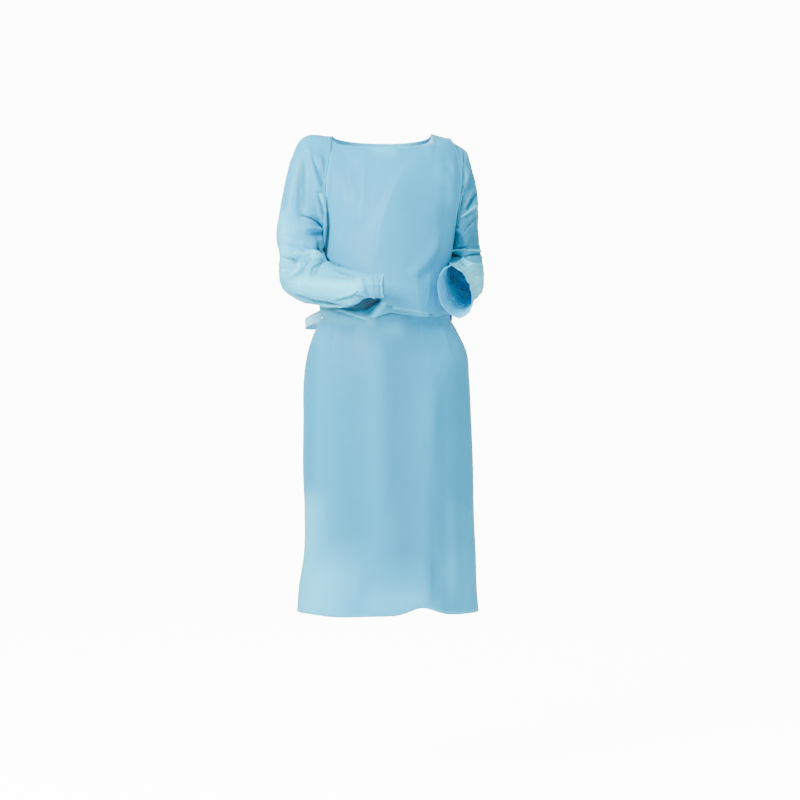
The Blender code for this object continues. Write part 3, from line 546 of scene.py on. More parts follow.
SLEEVE_SHADES = SEAM_SHADES + in_metres(Shade, 5, (
    # line beside the right armhole, and the hooked crease
    (-142, -137.8, -135.7, -161.1, 1.4, 0.5), (-135.7, -161.1, -127.2, -186.6, 1.8, 0.65),
    (-139, -125, -130, -178, 5.5, 0.42), (-177, -173.8, -156.9, -180.2, 1.5, 0.85),
    (-156.9, -180.2, -142, -188.7, 1.7, 0.92), (-142, -188.7, -127.2, -208.8, 1.8, 0.9),
    # crook of the right sleeve
    (-152, -216, -135.7, -214, 5.5, 0.4), (-142, -223, -135.7, -226, 4.5, 0.22),
    (-139, -232, -133, -252, 6.5, 0.6), (-139, -244, -133, -256, 4, 0.95),
    (-125, -210, -128, -260, 4, 0.92),
    # folds of the right elbow
    (-202, -309.5, -176, -287, 3.6, 0.5), (-176, -287, -162, -276, 2.2, 0.4),
    (-159, -303, -154.5, -288, 2.6, 0.62), (-154.5, -288, -135, -274.5, 2.2, 0.6),
    (-135, -274.5, -118, -274, 1.6, 0.4), (-186.6, -265, -146.3, -259, 1.8, 0.48),
    (-216, -262, -193, -266.5, 2, 0.92), (-146.3, -259, -138, -257, 2.4, 0.6),
    (-134, -270, -124, -274.5, 2.2, 0.55),
    # under the right forearm
    (-187, -344.5, -154.8, -355, 2.4, 0.62), (-154.8, -355, -125, -361, 2.4, 0.74),
    (-125, -361, -97, -366, 2.4, 0.8),
    # upper arm of the left sleeve, turned away from the light
    (166, -60, 167.2, -110, 2.6, 0.6), (166, -110, 164, -150, 4, 0.7), (162, -150, 159, -175, 5, 0.62),
    (157, -175, 152, -215, 5, 0.66), (154, -215, 146, -256, 10, 0.88), (176, -70, 172, -230, 17, 0.48),
    (176, -185, 186, -230, 26, 0.58), (150.5, -244, 197.2, -242, 5, 0.66), (193, -127, 174, -164, 4, 0.62),
    (197.2, -173.8, 170, -208, 2.2, 0.62),
    # crook of the left sleeve
    (142, -266, 160, -261, 8.5, 0.42), (160, -259, 204, -256, 3, 0.72), (164, -264, 204, -267, 7.5, 0.4),
    (168, -276, 186, -285, 2, 0.5), (148, -283, 136, -287, 4, 0.85),
    (180.2, -320.1, 199.3, -311.6, 3.5, 0.35),
))

# Painted light: paler colour where the film is drawn tight and catches the light, where it stands free with
# light behind it, and where the skirt is lit more, under the blouse's lip and towards the hem
FRONT_HIGHLIGHTS = in_metres(Shade, 5, (
    (-133, -70, -129, -145, 5, 0.3), (-3, -364, -24, -388, 6, 0.45), (20, -372, 90, -384, 4, 0.3),
    (-15, -35, 15, -40, 12, 0.25), (-150, -960, -160, -1020, 65, 0.42), (-164, -800, -164, -1010, 32, 0.38),
    (162, -920, 170, -1000, 40, 0.1), (-20, -1000, 85, -1000, 32, 0.2), (-130, -385, -30, -403, 12.5, 0.75),
    (-50, -408, 20, -412, 18, 0.3),
))
SLEEVE_HIGHLIGHTS = in_metres(Shade, 5, (
    (-137, -130, -130.5, -164, 3, 0.5), (-190, -254, -140, -256, 4.5, 0.45),
    (-190, -318, -70, -330, 23, 0.6), (-218, -180, -212, -300, 16, 0.42),
    (-200, -290, -170, -300, 18, 0.22), (-148, -364, -70, -372, 3, 0.75), (-202, -302, -180, -280, 3, 0.6),
    (-169, -287, -150, -272, 2.6, 0.6), (-150, -264, -130, -260, 7, 0.4), (180, -290, 198, -325, 20, 0.9),
    (150, -295, 172, -370, 15, 0.85), (162, -178, 195, -153, 2.2, 0.45), (148, -249, 203, -249, 2.2, 0.45),
))


def spline(knots, values, at):
    """Smooth curve through rows of values at the given knots, read at other places."""
    knots = np.asarray(knots, float)
    values = np.asarray(values, float)
    at = np.asarray(at, float)
    slopes = np.gradient(values, knots, axis=0)
    low = np.clip(np.searchsorted(knots, at, side="right") - 1, 0, len(knots) - 2)
    span = knots[low + 1] - knots[low]
    t = (at - knots[low]) / span
    shape = (-1,) + (1,) * (values.ndim - 1)
    t = t.reshape(shape)
    span = span.reshape(shape)
    start = (2 * t**3 - 3 * t**2 + 1) * values[low] + (t**3 - 2 * t**2 + t) * span * slopes[low]
    end = (3 * t**2 - 2 * t**3) * values[low + 1] + (t**3 - t**2) * span * slopes[low + 1]
    return start + end


def smoothstep(t):
    t = np.clip(t, 0.0, 1.0)
    return t * t * (3.0 - 2.0 * t)


def ramp(value, slope, offset):
    """Eased step of a value: 0 up to where slope * value + offset is 0, 1 from where it is 1."""
    return smoothstep(value * slope + offset)


def body_rows():
    """The body's sections with the rows between them, as an array of the table's columns."""
    heights = np.array([s.z_front for s in BODY])
    depths = np.array([s.y_front for s in BODY])
    knots = np.concatenate([[0.0], np.cumsum(np.hypot(np.diff(heights), np.diff(depths)))])
    at = []
    for k in range(len(BODY) - 1):
        steps = BODY[k].steps * ROW_DETAIL
        at += [knots[k] + (knots[k + 1] - knots[k]) * i / steps for i in range(steps)]
    columns = np.array([s[:-1] for s in BODY])
    return spline(knots, columns, at + [knots[-1]])


ROWS = body_rows()
ARMHOLE_ROWS = sum(s.steps for s in BODY[:ARMHOLE_SECTIONS]) * ROW_DETAIL + 1


def edge_angle(row, side, front):
    """Angle of a panel's side edge at one row: the armhole, then the side seam."""
    z_side = ROWS[row][2]
    reach = REACH[side, front]
    down = z_side / UNDERARM
    if row < ARMHOLE_ROWS - 1:
        share = math.sin(math.pi * down) ** ARMHOLE_ROUNDNESS if 0.0 < down < 1.0 else 0.0
        return 90.0 - reach * share if front else 90.0 + reach * share
    return 90.0 + SIDE_SEAM_TURN * float(smoothstep((UNDERARM - z_side) / SIDE_SEAM_EASE))


def neck_points(side, across, depth, height):
    """Points of the neck edge, or of the short shoulder seam beyond its left corner."""
    half = ROWS[0][3] if side < 0 else ROWS[0][4]
    neck = NECK_RIGHT if side < 0 else NECK_LEFT
    ridge = ROWS[0][2]
    towards = np.sqrt(np.clip(1.0 - (across / neck) ** 2, 0.0, 1.0))
    beyond = np.clip((across - neck) / max(half - neck, TINY), 0.0, 1.0)
    z = ridge + (height - ridge) * towards**NECK_HOLLOW - SHOULDER_DROP * beyond
    return np.stack([side * across, depth * towards, z], axis=-1)


def body_section(row, side, angles):
    """Outer points of the body along one row, before the neck is shaped."""
    z_front, y_front, z_side, right, left, z_back, y_back, _, wave = ROWS[row]
    turn = np.radians(np.asarray(angles, float))
    half = right if side < 0 else left
    x = side * half * np.sin(turn)
    ahead = np.cos(turn)
    reach = np.abs(ahead)
    y = np.where(ahead >= 0.0, y_front, y_back) * reach**ROUNDNESS
    z = z_side + (np.where(ahead >= 0.0, z_front, z_back) - z_side) * reach
    rise = np.interp(x, [p.x for p in LIP_WAVE], [p.rise for p in LIP_WAVE])
    z = z + wave * rise * ramp(ahead, *LIP_TURN)
    if row < RIDGE_ROWS:
        arch = RIDGE_ARCH * math.sin(math.pi * row / RIDGE_ROWS)
        z = z + arch * smoothstep(np.abs(x) / RIDGE_WIDTH - RIDGE_START)
    up = smoothstep((z - BODY[-1].z_front) / HEM_RISE_HEIGHT)
    for bump in HEM_RISES:
        size = bump.rise * np.exp(-((x - bump.x) / bump.half_width) ** 2)
        z = z + size * (1.0 - up) * np.maximum(ahead, 0.0)
    return np.stack([x, y, z], axis=-1)


def body_line(row, side, angles):
    """Outer points of the body along one row, at angles from the middle of the front, in degrees."""
    points = body_section(row, side, angles)
    if row >= ROW_DETAIL:
        return points
    first = body_section(0, side, angles)
    ahead = np.cos(np.radians(np.asarray(angles, float))) >= 0.0
    across = np.abs(first[:, 0])
    front = neck_points(side, across, ROWS[0][1], ROWS[0][0])
    back = neck_points(side, across, ROWS[0][6], ROWS[0][5])
    neck = np.where(ahead[:, None], front, back)
    return points + (neck - first) * (1.0 - row / ROW_DETAIL)


def front_grid():
    grid = []
    across = 2.0 * np.arange(FRONT_COLUMNS + 1) / FRONT_COLUMNS - 1.0
    for row in range(len(ROWS)):
        right = body_line(row, -1, -across[across < 0] * edge_angle(row, -1, True))
        left = body_line(row, 1, across[across >= 0] * edge_angle(row, 1, True))
        grid.append(np.concatenate([right, left]))
    return np.array(grid)


def back_grid(side):
    """One half of the back between its side seam and the centre back, columns running to -X."""
    grid = []
    for row in range(len(ROWS)):
        half = ROWS[row][3] if side < 0 else ROWS[row][4]
        opening = 180.0 - math.degrees(math.asin(max(ROWS[row][7] - BACK_CLOSED, 0.0) / half))
        edge = edge_angle(row, side, False)
        angles = edge + (opening - edge) * np.arange(BACK_COLUMNS + 1) / BACK_COLUMNS
        line = body_line(row, side, angles)
        grid.append(line if side > 0 else line[::-1])
    return np.array(grid)


def armhole_ring(side):
    """Points round an armhole: top, down its front edge, underarm, up its back edge."""
    last = ARMHOLE_ROWS - 1
    front = [body_line(r, side, [edge_angle(r, side, True)])[0] for r in range(last + 1)]
    back = [body_line(r, side, [edge_angle(r, side, False)])[0] for r in range(last - 1, 0, -1)]
    return np.array(front + back)


def surface_beside(points, side):
    """How far out the body's surface lies beside points, and how far ahead or behind they are, 0 to 1."""
    heights = ROWS[::-1, 2]
    half, front, back = [np.interp(points[..., 2], heights, ROWS[::-1, column])
                         for column in (3 if side < 0 else 4, 1, 6)]
    depth = np.where(points[..., 1] < 0.0, -front, back)
    ahead = np.clip(np.abs(points[..., 1]) / depth, 0.0, 1.0) ** (1.0 / ROUNDNESS)
    return half * np.sqrt(1.0 - ahead**2), ahead


def clear_of_body(points, side, spare):
    """Move a sleeve's points sideways until they clear the body, by the whole space half way down."""
    surface, ahead = surface_beside(points, side)
    inside = np.clip(points[:, 2] / UNDERARM, 0.0, 1.0)
    least = surface + (SLEEVE_SPACE + spare * np.sin(math.pi * inside))
    moved = points.copy()
    beside = ahead < 1.0
    moved[beside, 0] = side * np.maximum(side * points[beside, 0], least[beside])
    return moved


def lean_on_body(points, normals, side, lowest):
    """Close the crook: rest a sleeve's points that face the body and are near it against the body."""
    away = side * points[..., 0] - surface_beside(points, side)[0]
    below = smoothstep((UNDERARM + LEAN_START - points[..., 2]) / LEAN_EASE)
    above = smoothstep((points[..., 2] - lowest) / LEAN_EASE)
    facing = ramp(-side * normals[..., 0], *LEAN_TURN)
    near = smoothstep((LEAN_REACH - away) / LEAN_EASE)
    moved = points.copy()
    moved[..., 0] -= side * (away - LEAN_SPACE) * (below * above * facing * near)
    sunk = LEAN_SPACE - (side * moved[..., 0] - surface_beside(moved, side)[0])
    moved[..., 0] += side * np.clip(sunk, 0.0, LEAN_REACH) * below
    return moved


def rested_on(grid):
    """1 where a sleeve may rest on the body, and 0 elsewhere."""
    height = grid[:, :, 2]
    below = smoothstep((UNDERARM + REST_EASE - height) / REST_EASE)
    above = smoothstep((height - LEFT_LEAN_END + REST_REACH) / REST_EASE)
    return below * above * smoothstep((np.abs(grid[:, :, 0]) - REST_WIDTH) / REST_EASE)


def sleeve_grid(side, sections):
    """Rings of a sleeve from the armhole to the cuff, each starting at its outer point."""
    last = ARMHOLE_ROWS - 1
    count = 2 * last
    even = np.arange(count) * 2 * math.pi / count
    down = np.arccos(1.0 - 2.0 * np.clip(ROWS[:last + 1, 2] / UNDERARM, 0.0, 1.0))
    down[0] = 0.0
    down[-1] = math.pi
    at_armhole = np.concatenate([down, 2 * math.pi - down[last - 1:0:-1]])
    outer = np.array([[s.x_out, s.y_out, s.z_out] for s in sections])
    inner = np.array([[s.x_in, s.y_in, s.z_in] for s in sections])
    centres = (outer + inner) / 2
    padded = np.concatenate([centres[:1], centres[:1], centres, centres[-1:], centres[-1:]])
    tangents = padded[4:] - padded[:-4]
    tangents[:, 1] *= smoothstep((np.arange(len(sections)) - UPRIGHT_SECTIONS) / TURN_SECTIONS)
    rings = [armhole_ring(side)]
    for k, section in enumerate(sections):
        width = (outer[k] - inner[k]) / 2
        depth = np.cross(width, tangents[k])
        depth *= -side * section.half_depth / np.linalg.norm(depth)
        blend = float(smoothstep(k / SLEEVE_EASE))
        angles = at_armhole + (even - at_armhole) * blend
        ring = centres[k] + np.outer(np.cos(angles), width) + np.outer(np.sin(angles), depth)
        rings.append(clear_of_body(ring, side, ARMHOLE_STEP * (k + 1)))
    rings = np.array(rings)
    coarse = spline(np.arange(len(rings)), rings, np.linspace(0, len(rings) - 1, SLEEVE_RINGS))
    front = coarse[:, count // 4]
    lengths = np.concatenate([[0.0], np.cumsum(np.linalg.norm(np.diff(front, axis=0), axis=1))])
    evenly = np.linspace(0.0, lengths[-1], SLEEVE_RINGS)
    at = np.interp(evenly, lengths, np.linspace(0, len(rings) - 1, SLEEVE_RINGS))
    fine = spline(np.arange(len(rings)), rings, at)
    around = np.arange(SLEEVE_COLUMNS) / SLEEVE_COLUMNS
    around = (around - FRONT_CROWDING * (1.0 - np.cos(2 * math.pi * around)) / (2 * math.pi)) % 1.0
    wrapped = np.concatenate([fine[:, -2:], fine, fine[:, :3]], axis=1).transpose(1, 0, 2)
    return spline(np.arange(count + 5) - 2, wrapped, around * count).transpose(1, 0, 2)


def grid_normals(grid, closed=False, outward=1.0):
    """Unit normals of a grid whose rows run down and whose columns run round the piece."""
    down = np.gradient(grid, axis=0)
    if closed:
        across = np.roll(grid, -1, axis=1) - np.roll(grid, 1, axis=1)
    else:
        across = np.gradient(grid, axis=1)
    normals = np.cross(down, across) * outward
    return normals / np.maximum(np.linalg.norm(normals, axis=2, keepdims=True), TINY)


def seen_from_camera(points):
    """Where the camera sees points, as x and z on the plane y = 0."""
    nearer = -CAMERA.y / (points[..., 1] - CAMERA.y)
    x = CAMERA.x + (points[..., 0] - CAMERA.x) * nearer
    z = CAMERA.z + (points[..., 2] - CAMERA.z) * nearer
    return np.stack([x, z], axis=-1)


def line_distances(place, line):
    """Share of the way along a line, distance from it and distance beyond its ends."""
    start = np.array([line.x0, line.z0])
    run = np.array([line.x1, line.z1]) - start
    length = np.linalg.norm(run)
    offset = place - start
    along = offset @ run / length**2
    away = (offset[..., 0] * run[1] - offset[..., 1] * run[0]) / length
    beyond = np.maximum(np.maximum(-along, along - 1.0), 0.0) * length
    return along, away, beyond


def crease_profile(distance, crease):
    """Cross-section of a crease: a round bump, or a peak with a small round tip."""
    round_bump = np.exp(-(distance / crease.half_width) ** 2)
    tip = TIP_RADIUS * crease.half_width
    peak = np.exp(-(np.sqrt(distance**2 + tip**2) - tip) / (FLANK_WIDTH * crease.half_width))
    return round_bump + (peak - round_bump) * crease.sharp


def crease_heights(grid, normals, creases, facing):
    """Height of the creases at each point of a grid, where it faces -Y (facing -1) or +Y (1)."""
    place = seen_from_camera(grid)
    weight = ramp(facing * normals[:, :, 1], *CREASE_TURN)
    heights = np.zeros(grid.shape[:2])
    for crease in creases:
        along, away, beyond = line_distances(place, crease)
        phase = CREASE_PHASE + (1.0 - 2 * CREASE_PHASE) * np.clip(along, 0.0, 1.0)
        taper = CREASE_ENDS + (1.0 - CREASE_ENDS) * np.sin(math.pi * phase)
        fade = np.exp(-(beyond / (CREASE_FADING * crease.half_width)) ** 2)
        heights += crease.height * crease_profile(away, crease) * taper * fade
    return heights * weight


def fold_heights(grid, normals, table, facing):
    """Height of the broad folds at each point of a grid, where it faces -Y (facing -1) or +Y (1)."""
    place = seen_from_camera(grid)
    weight = ramp(facing * normals[:, :, 1], *FOLD_TURN)
    heights = np.zeros(grid.shape[:2])
    for fold in table:
        knots = np.arange(len(fold.curve))
        curve = spline(knots, fold.curve, np.linspace(0, len(fold.curve) - 1, FOLD_POINTS))
        nearest = np.full(grid.shape[:2], np.inf)
        share = np.zeros(grid.shape[:2])
        side = np.zeros(grid.shape[:2])
        for k in range(FOLD_POINTS - 1):
            run = curve[k + 1] - curve[k]
            offset = place - curve[k]
            along = np.clip(offset @ run / (run @ run), 0.0, 1.0)
            away = np.linalg.norm(offset - along[..., None] * run, axis=-1)
            closer = away < nearest
            nearest = np.where(closer, away, nearest)
            share = np.where(closer, (k + along) / (FOLD_POINTS - 1), share)
            side = np.where(closer, offset[..., 0] * run[1] - offset[..., 1] * run[0], side)
        half_width = np.where(side > 0.0, fold.left, fold.right)
        taper = smoothstep(share / FOLD_RISE + FOLD_ENDS)
        taper = taper * smoothstep((1.0 - share) / FOLD_RISE + FOLD_ENDS)
        heights += fold.height * np.exp(-(nearest / half_width) ** 2) * taper
    return heights * weight


def shaded(grid, normals, shades):
    """How much each point takes of a table's drawn marks, from 0 to 1: painted shade from the shade tables,
    painted light from the highlight tables.
    """
    place = seen_from_camera(grid)
    forward = -normals[:, :, 1]
    amount = np.zeros(grid.shape[:2])
    for shade in shades:
        _, away, beyond = line_distances(place, shade)
        distance = (away**2 + beyond**2) / shade.half_width**2
        crisp = shade.half_width < SOFT_SHADE
        weight = ramp(forward, *(CRISP_TURN if crisp else SOFT_TURN))
        amount = np.maximum(amount, shade.amount * weight * np.exp(-distance ** (2 if crisp else 1)))
    return amount


def flutter(grid, size, seed):
    """Soft uneven waves of the film, between -1 and 1, as noise of the given size along X, Y and Z."""
    offset = Vector([seed * step for step in NOISE_STEPS])
    scale = np.array([1.0 / s for s in size])
    return np.array([[noise.noise(Vector(p * scale) + offset) for p in line] for line in grid])


def crumple(grid, size, seed):
    """Narrow crests of thin film that has been crushed, between 0 and 1."""
    first = flutter(grid, size, seed)
    second = flutter(grid, [s * FINER for s in size], seed + FINER_SEED)
    crests = np.clip(1.0 - CREST_SHARPNESS * np.abs(first), 0.0, 1.0) ** 2
    return crests * (CREST_SHARE + CREST_SPREAD * second)


def edge_fade(shape, first_rows, sides=0):
    """Weights of 0 on a grid's first row, and on its sides, rising to 1 over so many rows or columns."""
    weight = np.ones(shape) * smoothstep(np.arange(shape[0]) / first_rows)[:, None]
    if sides:
        across = np.arange(shape[1])
        weight *= smoothstep(np.minimum(across, across[::-1]) / sides)[None, :]
    return weight


def set_inputs(tree, node, inputs):
    """Set a node's named inputs to values, or link them to sockets."""
    for name, source in inputs.items():
        if isinstance(source, bpy.types.NodeSocket):
            tree.links.new(source, node.inputs[name])
        else:
            node.inputs[name].default_value = source


def new_node(tree, kind, inputs, **settings):
    """A shader node of a kind, with its settings and named inputs."""
    node = tree.nodes.new("ShaderNode" + kind)
    for name, value in settings.items():
        setattr(node, name, value)
    set_inputs(tree, node, inputs)
    return node


def noise_at(tree, place, scale, detail):
    """Noise of a scale and detail at the places that a socket gives."""
    return new_node(tree, "TexNoise", {"Scale": scale, "Detail": detail, "Vector": place}).outputs["Fac"]


def mix_colour(tree, first, second, factor):
    """A mix between two colours or sockets."""
    first, second = [(*c, 1.0) if isinstance(c, tuple) else c for c in (first, second)]
    mix = new_node(tree, "Mix", {"A": first, "B": second, "Factor": factor}, data_type="RGBA")
    return mix.outputs["Result"]


def new_material(name):
    """A material, its node tree, its shader and a socket that gives the place on the object."""
    material = bpy.data.materials.new(name)
    material.use_nodes = True
    tree = material.node_tree
    return material, tree, tree.nodes["Principled BSDF"], new_node(tree, "TexCoord", {}).outputs["Object"]


def film_material(tint):
    """Thin embossed film: uneven tint, darkened by painted shade in creases, crooks, seams and hollows, and
    lightened by painted light, with painted highlights at its cut edges.
    """
    material, tree, shader, place = new_material(tint.name)
    colour = mix_colour(tree, tint.dark, tint.light, noise_at(tree, place, *TINT_NOISE))
    for attribute, shade in (("deep", tint.deep), ("pale", tint.pale)):
        amount = new_node(tree, "Attribute", {}, attribute_name=attribute)
        colour = mix_colour(tree, colour, shade, amount.outputs["Fac"])
    rough = new_node(tree, "MapRange", {"To Min": tint.roughness - ROUGHNESS_SPREAD,
                                        "To Max": tint.roughness + ROUGHNESS_SPREAD,
                                        "Value": noise_at(tree, place, *ROUGHNESS_NOISE)})
    cells = new_node(tree, "TexVoronoi", {"Scale": EMBOSS_SCALE, "Vector": place})
    fine = new_node(tree, "Bump", {**EMBOSS, "Height": cells.outputs["Distance"]})
    coarse = new_node(tree, "Bump", {**RELIEF, "Height": noise_at(tree, place, *RELIEF_NOISE),
                                     "Normal": fine.outputs["Normal"]})
    set_inputs(tree, shader, {**FILM_SURFACE, "Base Color": colour, "Roughness": rough.outputs["Result"],
                              "Normal": coarse.outputs["Normal"]})
    return material


def film(name, grid, material, node, closed=False, wall=FILM, pale=None, deep=None):
    """A shell of film in place of a solid: an outer skin through a grid, an inner skin, and its rims."""
    points = grid.reshape(-1, 3)
    count = len(points)
    index = np.arange(count).reshape(grid.shape[:2])
    rims = [index[0], index[-1, ::-1]]
    if closed:
        ring = np.concatenate([index, index[:, :1]], axis=1)
        rims = [np.append(rim, rim[0]) for rim in rims]
    else:
        ring = index
        rims += [index[::-1, 0], index[:, -1]]
    outer = np.stack([ring[:-1, :-1], ring[1:, :-1], ring[1:, 1:], ring[:-1, 1:]], axis=-1).reshape(-1, 4)
    skin = bpy.data.meshes.new(name + "_skin")
    skin.from_pydata(points.tolist(), [], outer.tolist())
    normals = np.empty(count * 3)
    skin.vertex_normals.foreach_get("vector", normals)
    bpy.data.meshes.remove(skin)
    inner_points = points - wall * normals.reshape(-1, 3)
    faces = [outer, outer[:, ::-1] + count]
    for rim in rims:
        faces.append(np.stack([rim[1:] + count, rim[:-1] + count, rim[:-1], rim[1:]], axis=-1))
    mesh = bpy.data.meshes.new(name)
    mesh.from_pydata(np.concatenate([points, inner_points]).tolist(), [], np.concatenate(faces).tolist())
    mesh.shade_smooth()
    # Painted light and painted shade for each point: the inner skin is painted paler, as light comes through
    # the film, and takes a share of the painted shade
    for attribute, values in (("pale", pale), ("deep", deep)):
        values = np.zeros(count) if values is None else np.asarray(values, float).reshape(-1)
        inside = np.maximum(values, INSIDE_PAINTED_LIGHT) if attribute == "pale" else values * INSIDE_PAINTED_SHADE
        layer = mesh.attributes.new(attribute, "FLOAT", "POINT")
        layer.data.foreach_set("value", np.concatenate([values, inside]))
    mesh.materials.append(material)
    piece = bpy.data.objects.new(name, mesh)
    bpy.context.scene.collection.objects.link(piece)
    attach(piece, "root")
    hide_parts(node)
    return piece


def dress(grid, normals, lines, back_lines, shades, scale, waves, fade):
    """Press creases and waves into a grid, less near its seams, where fade is low.

    Returns the new grid and how much painted shade each point takes, in troughs and in the drawn shades.
    """
    heights = crease_heights(grid, normals, lines, -1.0)
    heights += crease_heights(grid, normals, back_lines, 1.0)
    heights *= scale
    # painted shade in the troughs of the creases and in the drawn shades
    trough = np.clip(-heights / TROUGH_SHADE - TROUGH_START, 0.0, TROUGH_LIMIT)
    deep = np.maximum(shaded(grid, normals, shades), trough)
    moved = grid + normals * ((heights + waves) * fade)[:, :, None]
    return moved, deep


def neck_edge(grid):
    """1 on the neck edge's row between the corners of the neck, fading to 0 beyond them."""
    x = grid[0, :, 0]
    inside = smoothstep((NECK_RIGHT - np.where(x < 0, -x, 0.0)) / NECK_CORNER)
    return inside * smoothstep((NECK_LEFT - np.where(x > 0, x, 0.0)) / NECK_CORNER)


def make_front():
    grid = front_grid()
    normals = grid_normals(grid)
    height = grid[:, :, 2]
    waves = WAVE_HEIGHT * flutter(grid, WAVE_SIZE, FRONT_SEED)
    crests = CRUMPLE_HEIGHT * crumple(grid, CRUMPLE_SIZE, CRUMPLE_SEED)
    crests = crests * smoothstep((-height - CRUMPLE_TOP) / CRUMPLE_EASE)
    waves += crests * smoothstep((height + CRUMPLE_FOOT) / CRUMPLE_EASE)
    waves += fold_heights(grid, normals, FRONT_FOLDS, -1.0)
    waves *= 1.0 - rested_on(grid)
    fade = edge_fade(grid.shape[:2], NECK_FADE, SEAM_FADE)
    moved, deep = dress(grid, normals, FRONT_CREASES, (), FRONT_SHADES, PANEL_CREASES, waves, fade)
    armhole = smoothstep((height - UNDERARM) / SEAM_ROLL_END)
    column = np.arange(grid.shape[1])
    from_side = np.minimum(column, column[::-1])
    roll = np.exp(-((from_side - SEAM_ROLL_COLUMN) / SEAM_ROLL_WIDTH) ** 2)[None, :]
    down = smoothstep(np.arange(grid.shape[0]) / SEAM_ROLL_START)[:, None]
    moved += normals * (SEAM_ROLL * roll * armhole * down)[:, :, None]
    # painted light: a painted highlight along the seam roll, the drawn highlights, and painted highlights
    # along the neck edge and the hem
    seam = SEAM_ROLL_HIGHLIGHT * roll * (SIDE_SEAM_HIGHLIGHT + (1.0 - SIDE_SEAM_HIGHLIGHT) * armhole) * down
    pale = np.maximum(seam, shaded(grid, normals, FRONT_HIGHLIGHTS))
    pale[0] = np.maximum(pale[0], NECK_HIGHLIGHT * neck_edge(grid))
    pale[1] = np.maximum(pale[1], NECK_HIGHLIGHT / 2 * neck_edge(grid))
    pale[-1] = HEM_HIGHLIGHT
    piece = film("front_film", moved, PANEL, "front_panel", pale=pale, deep=deep)


def make_back(side, name):
    grid = back_grid(side)
    normals = grid_normals(grid)
    waves = WAVE_HEIGHT * flutter(grid, WAVE_SIZE, BACK_SEED + side)
    waves += fold_heights(grid, normals, BACK_FOLDS, 1.0)
    waves *= 1.0 - rested_on(grid)
    fade = edge_fade(grid.shape[:2], NECK_FADE, SEAM_FADE)
    moved, deep = dress(grid, normals, (), BACK_CREASES, (), PANEL_CREASES, waves, fade)
    # painted highlights along the neck edge, the hem and the back opening
    pale = np.zeros(grid.shape[:2])
    pale[:2] = NECK_HIGHLIGHT * neck_edge(grid)
    pale[-1] = HEM_HIGHLIGHT
    opening = -1 if side > 0 else 0
    pale[:, opening] = OPENING_HIGHLIGHT
    piece = film(name + "_film", moved, PANEL, name, pale=pale, deep=deep)


def make_sleeve(side, sections, lines, back_lines, name):
    grid = sleeve_grid(side, sections)
    height = grid[:, :, 2]
    normals = grid_normals(grid, closed=True, outward=-side)
    waves = SLEEVE_WAVE * flutter(grid, SLEEVE_WAVE_SIZE, SLEEVE_WAVE_SEED + side)
    along = np.linspace(0.0, 1.0, grid.shape[0])[:, None]
    crushed = SMOOTH_SHARE + (1.0 - SMOOTH_SHARE) * smoothstep((along - SMOOTH_END) / SMOOTH_EASE)
    waves += SLEEVE_CRUMPLE * crushed * crumple(grid, SLEEVE_CRUMPLE_SIZE, SLEEVE_CRUMPLE_SEED + side)
    fade = edge_fade(grid.shape[:2], ARMHOLE_FADE)
    moved, deep = dress(grid, normals, lines, back_lines, SLEEVE_SHADES, SLEEVE_CREASES, waves, fade)
    moved = lean_on_body(moved, normals, side, RIGHT_LEAN_END if side < 0 else LEFT_LEAN_END)
    row = np.arange(grid.shape[0])
    valley = np.exp(-((row - SEAM_VALLEY_ROW) / SEAM_VALLEY_WIDTH) ** 2) * smoothstep(row / SEAM_VALLEY_START)
    valley = valley[:, None] * smoothstep((height - UNDERARM) / SEAM_VALLEY_FOOT)
    valley = valley * smoothstep(-height / SEAM_VALLEY_TOP)
    moved -= normals * (SEAM_VALLEY * valley)[:, :, None]
    # painted shade in the seam valley; then painted light from the drawn highlights and at the cuff
    deep = np.maximum(deep, SEAM_VALLEY_SHADE * valley * smoothstep(-height / SEAM_VALLEY_SHADE_TOP))
    pale = shaded(grid, normals, SLEEVE_HIGHLIGHTS)
    pale[-2:] = np.maximum(pale[-2:], CUFF_HIGHLIGHT)
    if side > 0:
        moved, pale, deep = moved[:, ::-1], pale[:, ::-1], deep[:, ::-1]
    piece = film(name + "_film", moved, SLEEVE, name, closed=True, pale=pale, deep=deep)


def make_strip(name, grid):
    """A tie strip: film with painted light and painted highlights at its welded edges, a slight curl across
    its width and a crease along it with painted shade.
    """
    across = np.linspace(-1.0, 1.0, grid.shape[0])[:, None]
    along = np.linspace(0.0, 2 * math.pi, grid.shape[1])[None, :]
    normals = grid_normals(grid)
    waves = STRIP_WAVE * flutter(grid, STRIP_WAVE_SIZE, STRIP_SEED)
    middle = STRIP_MIDDLE.at(along)
    crease = np.exp(-np.abs(across - middle) / STRIP_CREASE_WIDTH) * STRIP_DEPTH.at(along)
    beside = across + STRIP_RIDGE_PLACE.at(along)
    ridge = STRIP_RIDGE * np.exp(-(beside / STRIP_RIDGE_WIDTH) ** 2)
    heights = STRIP_CURL * (1.0 - across**2) + waves - STRIP_CREASE * (crease - ridge)
    moved = grid + normals * heights[:, :, None]
    # painted light over the strip, brighter at its edges, and painted shade in its crease
    edge = STRIP_LIGHT + STRIP_EDGE_HIGHLIGHT * smoothstep((np.abs(across) - STRIP_EDGE) / (1.0 - STRIP_EDGE))
    pale = edge * np.ones(grid.shape[1])
    deep = STRIP_CREASE_SHADE * crease
    piece = film(name + "_film", moved, STRIP, name, wall=STRIP_FILM, pale=pale, deep=deep)


